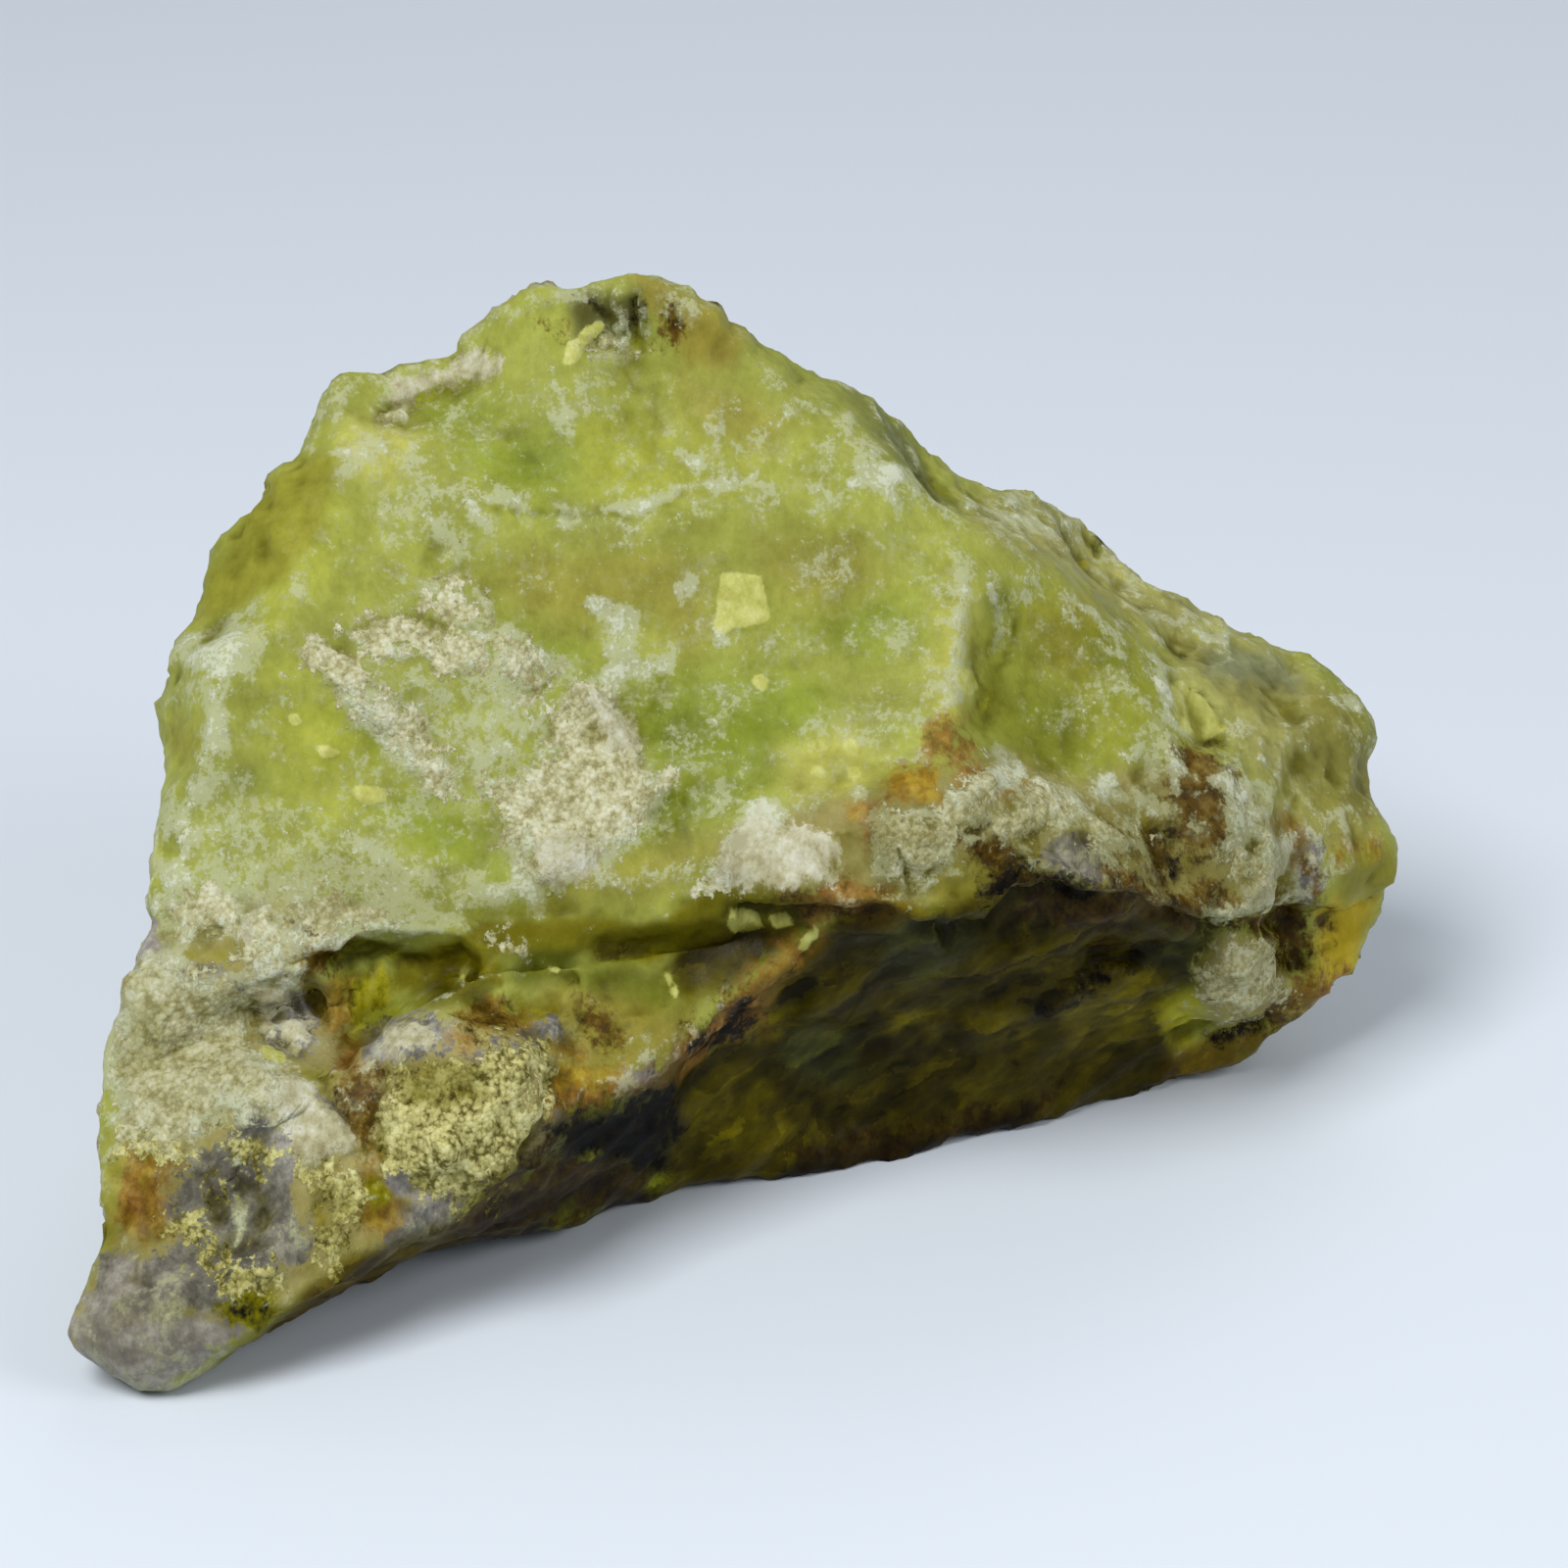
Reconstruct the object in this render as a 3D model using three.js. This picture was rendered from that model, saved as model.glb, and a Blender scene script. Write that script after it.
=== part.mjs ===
// A hand-sized piece of rough green opal, broken out of its host rock and lying on its widest side.
// Millimetres, +Z up, +X along the longest way, -Y towards the broad pale green front face.
// The stone is one solid. Its main corners are joined into a coarse block, the block is divided
// into small facets, worn a little, chipped, crusted and roughened, and then set down flat.

import * as THREE from 'three';
import { ConvexHull } from 'three/addons/math/ConvexHull.js';
import { ImprovedNoise } from 'three/addons/math/ImprovedNoise.js';

// The corners below are drawn about this long, and the finished stone is brought to it exactly.
const STONE_LENGTH = 103;

// How the surface is divided and worn. A round of wear smooths by one share and swells by the other.
const LONGEST_FACET_EDGE = 3.45;
const FIRST_WEAR_ROUNDS = 3;
const LAST_WEAR_ROUNDS = 2;
const WEAR_SHARES = [0.5, -0.52];

// The hackly grain of the broken surface.
const GRAIN = [
  { size: 17, height: 0.5 },
  { size: 7, height: 0.45 },
  { size: 3.6, height: 0.3 },
];

// A point well inside the stone, from which every part of its surface can be seen.
const HEART = new THREE.Vector3(-3, 10, 24);

const OPAL_GREEN = 0x96a046;

// The outline on the left, from the tip of the tail up to the shoulder.
const LEFT_OUTLINE = [
  [-53, -35.5, 5], [-51, -31.5, 9.5], [-51.5, -27.5, 14], [-50.5, -24.5, 20], [-51, -20, 25],
  [-49.5, -15, 29.5], [-48.5, -11.5, 33], [-47, -7, 37.5], [-47, -3, 41.5], [-45.5, 0, 45],
  [-44, 3.5, 49], [-41, 7, 53], [-37.5, 9, 56],
];

// The top edge of the front face, over the shoulder to the peak and down to the saddle.
const TOP_EDGE = [
  [-35.5, 11, 59], [-33.5, 12.5, 61.5], [-27, 14, 62.5], [-22.5, 14, 65.5], [-18, 14, 68.5],
  [-14, 15, 68.5], [-11, 14, 70], [-6.5, 13, 68.5], [-3, 13, 65], [0.5, 12, 62], [3.5, 11.5, 60.5],
];

// The edge that runs on from the saddle to the right-hand end.
const RIGHT_RIDGE = [
  [6.5, 10, 58.5], [9, 8, 55.5], [13, 9, 53], [17.5, 9, 50], [22.5, 10, 46], [27, 10, 41.5],
  [31, 11, 38], [36, 11, 33.5], [41, 13, 30.5],
];

// The chipped bevel between the front face and the left outline.
const LEFT_BEVEL = [
  [-33, 6, 59.5], [-36, 1, 55], [-38, -4, 51.5], [-42, -9, 46.5], [-42, -11, 42], [-44, -13, 37],
];

// The low crest behind the right ridge, which is the outline there.
const BACK_CREST = [
  [5, 18, 59.5], [8.5, 20, 57], [12.5, 22, 52.5], [15.5, 24, 49], [21, 28, 46], [25, 30, 43],
  [28.5, 30, 39], [33.5, 31, 35], [39, 31, 31.5], [45.5, 28, 28.5], [48, 25, 26],
];

// The blunt right-hand end, from its top corner down to where it meets the ground.
const RIGHT_END = [
  [49.5, 22, 22], [51.5, 18, 18], [51.5, 16, 16.5], [49, 16, 13.5], [48.5, 15, 9.5], [47, 14, 7],
];

// The front face of opal, slightly dished.
const FRONT_FACE = [
  [-23, 10, 60], [-10.5, 11.5, 61], [-14, 4.5, 54.5], [-25, 4.5, 55.5], [-3, 5.5, 54.5],
  [-14, 1, 49.5], [1, 2, 49], [8.5, 3.5, 49], [-29, -3, 47], [-21.5, -4, 43.5], [-6.5, -2.5, 42.5],
  [4.5, -2, 42.5], [-36, -9, 41.5], [-28.5, -9, 37.5], [-17.5, -7.5, 37], [-6.5, -7, 36.5],
  [4.5, -7.5, 37], [-36, -14, 33.5], [-25, -12.5, 32.5], [-14, -11.5, 32],
];

// The dusty edge where the front face turns into the right face.
const WHITE_EDGE = [[15, 4.5, 48.5], [15, 1, 45], [14.5, -2, 42.5], [13.5, -6.5, 39], [10.5, -9, 35]];

const RIGHT_FACE = [
  [22.5, 4, 39.5], [20.5, -2, 35.5], [28.5, 3, 35], [35, 4, 31], [27.5, -1, 30], [40, 7, 27],
  [44.5, 17, 28], [43.5, 10, 23.5], [48.5, 15, 21],
];

// The overhanging lip below both faces.
const LIP = [
  [-43, -17, 29.5], [-35.5, -18, 30], [-28.5, -17.5, 29.5], [-21, -16.5, 28.5], [-14, -15.5, 28.5],
  [-6.5, -13.5, 29.5], [-0.5, -12.5, 31], [5.5, -12.5, 29.5], [10.5, -12.5, 29], [16, -12.5, 29],
  [18, -9.5, 30.5], [20.5, -8, 30], [24, -8.5, 29], [29.5, -6, 26.5], [34.5, -2, 22], [39.5, 2.5, 20.5],
];

// The groove under the left half of the lip.
const GROOVE = [
  [-34, -15, 23.5], [-29.5, -16, 23.5], [-23, -14, 24.5], [-14, -12.5, 24], [-6.5, -10, 24],
  [0, -9.5, 25.5],
];

// The lower band, which widens to the left into the tail.
const LOWER_BAND = [
  [-44.5, -21, 25.5], [-38.5, -21, 25], [-44.5, -25, 19.5], [-37, -26, 19], [-32, -23, 20],
  [-26, -22.5, 23], [-19.5, -22.5, 21.5], [-23, -26.5, 18], [-29, -26.5, 16], [-14, -17.5, 22],
  [-8, -14.5, 21], [-11, -19, 19.5], [-42.5, -29.5, 15.5], [-35.5, -31, 13.5], [-28, -29.5, 13.5],
  [-45.5, -33, 10.5], [-39, -34.5, 10], [-46, -37, 7.5],
];

// The keel, from under the lip down to the tip of the tail.
const KEEL = [
  [3.5, -11.5, 26.5], [1, -12, 24.5], [-2.5, -13.5, 22], [-5.5, -15, 19.5], [-8.5, -17.5, 17.5],
  [-12.5, -20, 16.5], [-16, -22.5, 16], [-18, -24.5, 14.5], [-21, -26.5, 12.5], [-24.5, -28.5, 11],
  [-28, -30.5, 9.5], [-32.5, -33, 8], [-36, -35, 6.5], [-39.5, -36, 4.5], [-43.5, -36, 1.5],
  [-47, -36.5, 0.5],
];

// The hollowed wall under the lip, right of the keel.
const UNDERCUT = [
  [-2, -9, 13.5], [-5, -8, 7], [5, -6.5, 15], [1, -5, 5], [12.5, -6, 19], [12.5, -1.5, 7.5],
  [20, -3.5, 19.5], [24, -2, 20], [21.5, 2, 9], [28.5, 3, 12], [28, 0, 18.5], [34.5, 4.5, 12],
  [32.5, 7, 6.5], [5, -9.5, 22.5], [8.5, -9, 24],
];

// The knob, hollow and yellow edge at the right-hand end.
const RIGHT_KNOB = [[37.5, 4.5, 14.5], [40.5, 8, 9.5], [41.5, 9.5, 14], [44, 9, 18], [44.5, 10, 12],
  [41.5, 7, 21.5], [42, 11, 5.5], [38.5, 11, 1.5]];

// Where the front of the stone meets the ground, from the tail to the right.
const FRONT_FOOT = [
  [-49.5, -31, 0.5], [-36, -23, 0], [-29, -17, 0], [-23.5, -14.5, 0], [-14.5, -11.5, 0],
  [-7, -6, 0], [5, -4, 0], [18.5, 2.5, 0], [33, 10.5, 0],
];

// The back and the left flank, which fall away in broad breaks.
const BACK = [
  [-8, 20, 67], [-20, 21, 63], [-34, 19, 54], [-42, 12, 46], [-46, 4, 37], [-47, -9, 24],
  [-48, -18, 12], [-42, 10, 28], [-40, 18, 38], [-33, 26, 46], [-22, 29, 52], [-6, 29, 58],
  [4, 26, 55], [-26, 34, 33], [-12, 36, 42], [0, 37, 36], [12, 36, 38], [24, 37, 27],
  [37, 36, 22], [45, 30, 14], [-39, 22, 16], [-32, 31, 14], [-14, 38, 20], [6, 40, 18],
  [24, 39, 12], [-45, 2, 12],
];

// The edge of the underside round the back, and the underside itself.
const BACK_FOOT = [
  [-49, -22, 1], [-45, -8, 0.5], [-41, 8, 0.5], [-35, 22, 0.5], [-24, 31, 0.5], [-6, 35, 0.5],
  [12, 36, 1], [27, 34, 1], [39, 27, 1.5], [42, 19, 2],
];
const UNDERSIDE = [[-30, 5, -1.5], [-10, 12, -2], [10, 18, -2], [-38, -14, -1], [26, 22, -1.5]];

// Shell-shaped breaks. Each is what a ball of the given radius takes off, this deep at its place.
// It fades out between these two shares of its width, and is nowhere cut deeper than this many
// times its depth.
const BREAK_FADE = [0.9, 1.4];
const DEEPEST_CUT = 1.5;
const BREAKS = [
  // The left edge and the shoulder.
  { at: [-40, 2, 52], facing: [-0.8, -0.5, 0.3], radius: 13, depth: 1.6 },
  { at: [-46, -7, 41], facing: [-0.9, -0.3, 0.2], radius: 10, depth: 1.2 },
  { at: [-37, 7, 57.5], facing: [-0.8, -0.2, 0.6], radius: 9, depth: 1 },
  { at: [-48.5, -12, 33], facing: [-1, 0, 0.1], radius: 9, depth: 0.6 },
  // The front face: a wide dish, and a small hollow under the peak.
  { at: [-7, -4.5, 40.5], facing: [0, -0.8, 0.6], radius: 60, depth: 1 },
  { at: [-11, 12.5, 65.5], facing: [-0.2, -0.9, 0.3], radius: 6, depth: 1.2 },
  { at: [-26, 11, 61], facing: [-0.1, -0.5, 0.9], radius: 14, depth: 0.8 },
  // The right face: long scoops down it, and bites at its upper and right-hand edges.
  { at: [22.5, 3.5, 39.5], facing: [0.4, -0.7, 0.6], radius: 20, depth: 1.8 },
  { at: [17, 2.5, 45], facing: [0.6, -0.6, 0.5], radius: 7, depth: 1.2 },
  { at: [34.5, 9.5, 34.5], facing: [0.5, -0.5, 0.7], radius: 7, depth: 1.8 },
  { at: [31, 4, 36], facing: [0.3, -0.7, 0.6], radius: 11, depth: 1 },
  { at: [43, 13, 28], facing: [0.7, -0.4, 0.6], radius: 9, depth: 1.4 },
  { at: [48, 17, 25], facing: [0.8, -0.3, 0.6], radius: 8, depth: 1 },
  // The strip behind the right ridge.
  { at: [14, 14, 52], facing: [0.6, 0.1, 0.8], radius: 8, depth: 1.5 },
  { at: [26.5, 24, 41], facing: [0.5, 0, 0.9], radius: 7, depth: 1.3 },
  { at: [42, 22, 31.5], facing: [0.4, 0.1, 0.9], radius: 12, depth: 1 },
  // The pocket under the lip, and the glassy breaks of the lower band.
  { at: [-31, -17, 24.5], facing: [0.3, -0.9, 0.3], radius: 4.5, depth: 2.4 },
  { at: [-10, -14.5, 23.5], facing: [0.2, -0.8, 0.6], radius: 9, depth: 1.4 },
  { at: [-42, -29.5, 15.5], facing: [0.2, -0.8, 0.6], radius: 7, depth: 1.3 },
  { at: [-37, -31, 14], facing: [-0.3, -0.8, 0.5], radius: 7, depth: 1.2 },
  { at: [-40.5, -33, 11.5], facing: [0, -0.6, 0.8], radius: 6, depth: 0.7 },
  { at: [-31, -31, 12], facing: [0.3, -0.8, 0.5], radius: 8, depth: 1 },
  // The undercut.
  { at: [-1, -7.5, 9], facing: [0.5, -0.9, -0.1], radius: 16, depth: 2 },
  { at: [12.5, -3.5, 12], facing: [0.2, -0.9, -0.4], radius: 24, depth: 2 },
  { at: [24, 0, 11], facing: [0.3, -0.9, -0.3], radius: 16, depth: 1.4 },
  { at: [19, -6, 25.5], facing: [0, -0.9, -0.5], radius: 8, depth: 1.8 },
  // The right-hand end.
  { at: [42, 7, 22.5], facing: [0.7, -0.7, 0], radius: 5, depth: 1.2 },
  { at: [46, 13, 13], facing: [0.8, -0.6, 0.1], radius: 9, depth: 1 },
  // The back and the left flank.
  { at: [-30, 31, 32], facing: [-0.5, 0.8, 0.2], radius: 36, depth: 3.4 },
  { at: [2, 37, 44], facing: [0.1, 0.8, 0.5], radius: 30, depth: 3 },
  { at: [28, 38, 22], facing: [0.4, 0.9, 0.1], radius: 26, depth: 2.6 },
  { at: [-8, 37, 14], facing: [-0.1, 1, -0.1], radius: 28, depth: 2.4 },
  { at: [-46, -2, 20], facing: [-1, 0.3, 0.1], radius: 30, depth: 2 },
  { at: [-41, 16, 44], facing: [-0.8, 0.5, 0.4], radius: 16, depth: 2 },
  { at: [-14, 26, 60], facing: [-0.1, 0.6, 0.8], radius: 18, depth: 1.6 },
  { at: [44, 33, 20], facing: [0.7, 0.7, 0.1], radius: 14, depth: 1.8 },
];

// Lines along which the surface stands up or, with a height below zero, is cut in.
const FOLDS = [
  // The faint step across the upper front face.
  { line: [[-24, 5, 55], [-14, 4.5, 54.5], [-2, 5.5, 54.5], [8.5, 8, 55.5]], width: 5, height: 0.5 },
  // The dusty crescent edges beside the white edge.
  { line: [[16, 4.5, 48], [18.5, 3, 45], [17, 0.5, 42.5]], width: 2.6, height: 0.7 },
  // The flake and the slit in the upper right face.
  { line: [[31, 8, 37], [33, 7, 34.5], [36.5, 8, 32.5]], width: 3, height: 0.9 },
  { line: [[33.5, 10.5, 35.5], [36, 10, 33]], width: 2.6, height: -1.2 },
  // The ledge and the slanting ribs of the undercut.
  { line: [[15.5, -3.5, 14.5], [20, -2.7, 17], [24, -2, 18], [29, 0, 17.8], [33, 2.2, 16]],
    width: 2.6, height: -1.3 },
  { line: [[14, -2.5, 12], [20, -1, 15], [26, 0, 15.8], [31, 2.5, 14]], width: 3.4, height: 1 },
  { line: [[6, -8.5, 22], [3.3, -8.1, 16.6], [1, -7.3, 10], [-2, -6.5, 4]], width: 3.2, height: 1.2 },
  { line: [[-7, -12, 15], [0, -10.5, 19], [6, -9, 22.5]], width: 3, height: -1 },
  { line: [[8, -4, 8], [14, -3.5, 14], [19, -4.5, 20]], width: 3, height: 0.7 },
  // The white rib in the grey chalcedony of the tail.
  { line: [[-39.5, -28, 17], [-39, -31.5, 13.5], [-38.5, -34, 11]], width: 2.4, height: 0.8 },
  // The slot and the hollow beside the knob at the right-hand end.
  { line: [[34.5, 7.5, 6], [40, 9.5, 6]], width: 2.6, height: -1.8 },
  { line: [[41, 5.5, 19.5], [41.5, 8.5, 12]], width: 3.4, height: -2 },
  { line: [[43.5, 9, 21], [45, 11, 15], [44.5, 10.5, 10]], width: 3, height: 0.9 },
];

// Lumps and crusts that stand on the surface, flat-topped out to this share of their width.
const CRUST_TOP = 0.65;
const CRUSTS = [
  { line: [[-19, -3.5, 43.5], [-15, -5, 41], [-13, -7, 37.5], [-14.5, -9.5, 34.5]], width: 5.5, height: 0.8 },
  { line: [[-27, -2.5, 47.5], [-23, -3, 46]], width: 5, height: 0.5 },
  { line: [[-30, -5, 44], [-26.5, -7, 40.5], [-22, -7.5, 38]], width: 4, height: 0.5 },
  { line: [[-1.5, -10.5, 34], [3, -10.5, 33], [7, -10.5, 33.5]], width: 5, height: 1 },
  { line: [[10, -9.5, 34.5], [15, -8.5, 34.5], [21, -6, 33], [26, -4.5, 30.5]], width: 4.5, height: 1.1 },
  { line: [[35, 1, 28], [38, 3.5, 25], [37.5, 3, 21.5]], width: 4, height: 0.9 },
  { line: [[37, 4.5, 15], [38, 6, 11.5]], width: 4.5, height: 1.6 },
  { line: [[-26, -23.5, 22], [-23, -26, 18.5], [-20.5, -25, 18]], width: 6.5, height: 1.6 },
  { line: [[-21, -22.5, 21.5], [-19, -22.5, 20.5]], width: 4, height: 0.8 },
  { line: [[-36, -24.5, 19.5], [-33.5, -26.5, 17.5], [-31.5, -27, 16.5]], width: 3.6, height: 1 },
  { line: [[-44, -21, 24.5], [-42, -23.5, 21], [-44, -26, 18]], width: 6, height: 0.8 },
  { line: [[-36, -17.5, 27], [-34.5, -17.5, 25.5]], width: 3.2, height: 1 },
  { line: [[-47, -36.5, 7], [-44, -36, 8]], width: 6, height: 0.6 },
  { line: [[45.5, 12, 22], [48, 14.5, 19]], width: 4, height: 1 },
  { line: [[33.5, 24, 36], [38, 24, 33.5]], width: 5, height: 0.9 },
  { line: [[-12, 15.5, 68.5], [-7, 14.5, 68.5]], width: 4, height: 0.4 },
];

// Nearly flat scars scattered by chance over the back, broad ones first. They lie where the
// surface leans at least this far away from the front, and not on the underside. The seeds are
// whole numbers that only have to differ.
const SCARS = [
  { count: 45, seed: 4711, radius: [40, 90], depth: [0.45, 1.35] },
  { count: 90, seed: 815, radius: [16, 40], depth: [0.22, 0.68] },
];
const BEHIND = new THREE.Vector3(0, 0.89, -0.45);
const LEAST_LEAN = 0.15;
const UNDERSIDE_LEAN = -0.5;
const SCAR_TILT = 0.25;

// Lines that stay sharp when the surface is worn.
const CRESTS = [TOP_EDGE, RIGHT_RIDGE, LIP, KEEL, WHITE_EDGE, LEFT_BEVEL, BACK_CREST];

const CORNERS = [
  LEFT_OUTLINE, TOP_EDGE, RIGHT_RIDGE, LEFT_BEVEL, BACK_CREST, RIGHT_END, FRONT_FACE, WHITE_EDGE,
  RIGHT_FACE, LIP, GROOVE, LOWER_BAND, KEEL, UNDERCUT, RIGHT_KNOB, FRONT_FOOT, BACK, BACK_FOOT,
  UNDERSIDE,
];

const edgeName = (a, b) => (a < b ? `${a} ${b}` : `${b} ${a}`);

// The coarse block: corners that neighbour each other, as seen from the heart, are joined.
function coarseBlock() {
  const points = [];
  const numbers = new Map();
  for (const corner of CORNERS.flat()) {
    numbers.set(corner, points.length);
    points.push(new THREE.Vector3(...corner));
  }
  const directions = points.map((point) => point.clone().sub(HEART).normalize());
  const numberOf = new Map(directions.map((direction, number) => [direction, number]));
  const faces = new ConvexHull().setFromPoints(directions).faces.map((face) => {
    const first = face.edge;
    return [first, first.next, first.next.next].map((edge) => numberOf.get(edge.head().point));
  });
  const crests = new Set();
  for (const line of CRESTS) {
    for (let i = 1; i < line.length; i += 1) {
      crests.add(edgeName(numbers.get(line[i - 1]), numbers.get(line[i])));
    }
  }
  return { points, faces, crests };
}

// Halves every edge longer than the limit and shares each triangle out among the new points.
function divideOnce({ points, faces, crests }, limit) {
  const middles = new Map();
  const middleOf = (a, b) => {
    const name = edgeName(a, b);
    if (!middles.has(name) && points[a].distanceTo(points[b]) > limit) {
      middles.set(name, points.length);
      if (crests.has(name)) {
        crests.add(edgeName(a, points.length)).add(edgeName(points.length, b));
      }
      points.push(points[a].clone().lerp(points[b], 0.5));
    }
    return middles.get(name);
  };
  const divided = [];
  for (const face of faces) {
    const cuts = face.map((corner, i) => middleOf(corner, face[(i + 1) % 3]));
    const count = cuts.filter((cut) => cut !== undefined).length;
    const start = count === 2
      ? (cuts.findIndex((cut) => cut === undefined) + 1) % 3
      : Math.max(0, cuts.findIndex((cut) => cut !== undefined));
    const [a, b, c] = [0, 1, 2].map((i) => face[(start + i) % 3]);
    const [ab, bc, ca] = [0, 1, 2].map((i) => cuts[(start + i) % 3]);
    if (count === 3) {
      divided.push([a, ab, ca], [ab, b, bc], [ca, bc, c], [ab, bc, ca]);
    } else if (count === 2) {
      divided.push([ab, b, bc]);
      if (points[ab].distanceTo(points[c]) < points[bc].distanceTo(points[a])) {
        divided.push([a, ab, c], [ab, bc, c]);
      } else {
        divided.push([a, ab, bc], [a, bc, c]);
      }
    } else if (count === 1) {
      divided.push([a, ab, c], [ab, b, c]);
    } else {
      divided.push(face);
    }
  }
  const done = middles.size === 0;
  return { stone: { points, faces: divided, crests }, done };
}

function divide(block, limit) {
  let { stone, done } = divideOnce(block, limit);
  while (!done) {
    ({ stone, done } = divideOnce(stone, limit));
  }
  return stone;
}

// Each point's neighbours; where crests stay sharp, a point on one has only the crest's own.
function neighboursOf({ points, faces, crests }, sharp) {
  const all = points.map(() => new Set());
  const along = points.map(() => new Set());
  for (const face of faces) {
    face.forEach((a, i) => {
      const b = face[(i + 1) % 3];
      all[a].add(b);
      all[b].add(a);
      if (sharp && crests.has(edgeName(a, b))) {
        along[a].add(b);
        along[b].add(a);
      }
    });
  }
  return all.map((near, i) => [...(along[i].size > 1 ? along[i] : near)]);
}

// Wears the surface: every point moves a share of the way to the middle of its neighbours,
// and then a little back, so that the stone is smoothed without growing smaller.
function wear(stone, rounds, sharp) {
  const neighbours = neighboursOf(stone, sharp);
  for (let round = 0; round < rounds; round += 1) {
    for (const share of WEAR_SHARES) {
      const moved = stone.points.map((point, i) => {
        const middle = new THREE.Vector3();
        neighbours[i].forEach((near) => middle.add(stone.points[near]));
        middle.divideScalar(neighbours[i].length);
        return point.clone().lerp(middle, share);
      });
      moved.forEach((point, i) => stone.points[i].copy(point));
    }
  }
}

function normalsOf({ points, faces }) {
  const normals = points.map(() => new THREE.Vector3());
  const [ab, ac] = [new THREE.Vector3(), new THREE.Vector3()];
  for (const [a, b, c] of faces) {
    ab.subVectors(points[b], points[a]);
    ac.subVectors(points[c], points[a]);
    ab.cross(ac);
    [a, b, c].forEach((corner) => normals[corner].add(ab));
  }
  return normals.map((normal) => normal.normalize());
}

// Lets the whole surface grow or shrink along its normals by what the height rule says.
function raise(stone, heightAt) {
  const normals = normalsOf(stone);
  stone.points.forEach((point, i) => {
    point.addScaledVector(normals[i], heightAt(point, normals[i]));
  });
}

// Takes off what lies inside a ball, which leaves a shell-shaped hollow with a crisp rim.
// What stands further off than the hollow is wide is left alone, even inside the ball.
function breakAway(stone, { at, facing, radius, depth }) {
  const place = new THREE.Vector3(...at);
  const centre = new THREE.Vector3(...facing).setLength(radius - depth).add(place);
  const width = Math.sqrt(2 * radius * depth);
  for (const point of stone.points) {
    const lack = Math.min(radius - point.distanceTo(centre), DEEPEST_CUT * depth);
    if (lack > 0) {
      const outside = THREE.MathUtils.smoothstep(point.distanceTo(place) / width, ...BREAK_FADE);
      const outward = point.clone().sub(centre).normalize();
      point.addScaledVector(outward, lack * (1 - outside));
    }
  }
}

function distanceToLine(point, line) {
  const nearest = new THREE.Vector3();
  const places = line.map((place) => new THREE.Vector3(...place));
  const distances = places.slice(1).map((place, i) => {
    new THREE.Line3(places[i], place).closestPointToPoint(point, true, nearest);
    return nearest.distanceTo(point);
  });
  return Math.min(...distances);
}

// 1 on the line, falling smoothly to 0 at the width; a flat-topped form stays 1 for longer.
const roundFade = (share) => (share < 1 ? (1 - share * share) ** 2 : 0);
const flatFade = (share) => 1 - THREE.MathUtils.smoothstep(share, CRUST_TOP, 1);

function build(stone, { line, width, height }, fade) {
  raise(stone, (point) => height * fade(distanceToLine(point, line) / width));
}

// Chance that is the same on every run, between the two ends of a range.
const CHANCE_FACTOR = 16807;
const CHANCE_LIMIT = 2 ** 31 - 1;

function chance(seed) {
  let state = seed;
  return (lowest, highest) => {
    state = (state * CHANCE_FACTOR) % CHANCE_LIMIT;
    return THREE.MathUtils.lerp(lowest, highest, state / CHANCE_LIMIT);
  };
}

function scatterScars(stone, { count, seed, radius, depth }) {
  const between = chance(seed);
  const tilt = () => between(-SCAR_TILT, SCAR_TILT);
  const normals = normalsOf(stone);
  const places = stone.points.filter((point, i) => (
    normals[i].dot(BEHIND) > LEAST_LEAN && normals[i].z > UNDERSIDE_LEAN
  ));
  for (let i = 0; i < count; i += 1) {
    const place = places[Math.floor(between(0, places.length))];
    const normal = normalsOf(stone)[stone.points.indexOf(place)];
    breakAway(stone, {
      at: place.toArray(),
      facing: normal.add(new THREE.Vector3(tilt(), tilt(), tilt())).toArray(),
      radius: between(...radius),
      depth: between(...depth),
    });
  }
}

function roughen(stone) {
  const noise = new ImprovedNoise();
  raise(stone, (point) => GRAIN.reduce((sum, { size, height }) => (
    sum + height * noise.noise(point.x / size, point.y / size, point.z / size)
  ), 0));
}

// Sets the stone down: the underside is worn flat, and the origin is under the middle of its box.
function setDown(stone) {
  const box = new THREE.Box3();
  for (const point of stone.points) {
    point.z = Math.max(point.z, 0);
    box.expandByPoint(point);
  }
  const middle = box.getCenter(new THREE.Vector3());
  const scale = STONE_LENGTH / box.getSize(new THREE.Vector3()).x;
  for (const point of stone.points) {
    point.set(point.x - middle.x, point.y - middle.y, point.z).multiplyScalar(scale);
  }
}

function stoneGeometry() {
  const stone = divide(coarseBlock(), LONGEST_FACET_EDGE);
  wear(stone, FIRST_WEAR_ROUNDS, true);
  BREAKS.forEach((hollow) => breakAway(stone, hollow));
  FOLDS.forEach((fold) => build(stone, fold, roundFade));
  CRUSTS.forEach((crust) => build(stone, crust, flatFade));
  SCARS.forEach((scars) => scatterScars(stone, scars));
  roughen(stone);
  wear(stone, LAST_WEAR_ROUNDS, false);
  setDown(stone);
  const geometry = new THREE.BufferGeometry();
  const places = stone.points.flatMap((point) => point.toArray());
  geometry.setAttribute('position', new THREE.Float32BufferAttribute(places, 3));
  geometry.setIndex(stone.faces.flat());
  geometry.computeVertexNormals();
  return geometry;
}

const opal = new THREE.MeshStandardMaterial({ color: OPAL_GREEN, roughness: 0.5, metalness: 0 });
const stoneMesh = new THREE.Mesh(stoneGeometry(), opal);
stoneMesh.name = 'opal_stone';

const roughOpal = new THREE.Group();
roughOpal.add(stoneMesh);

export default roughOpal;
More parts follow.
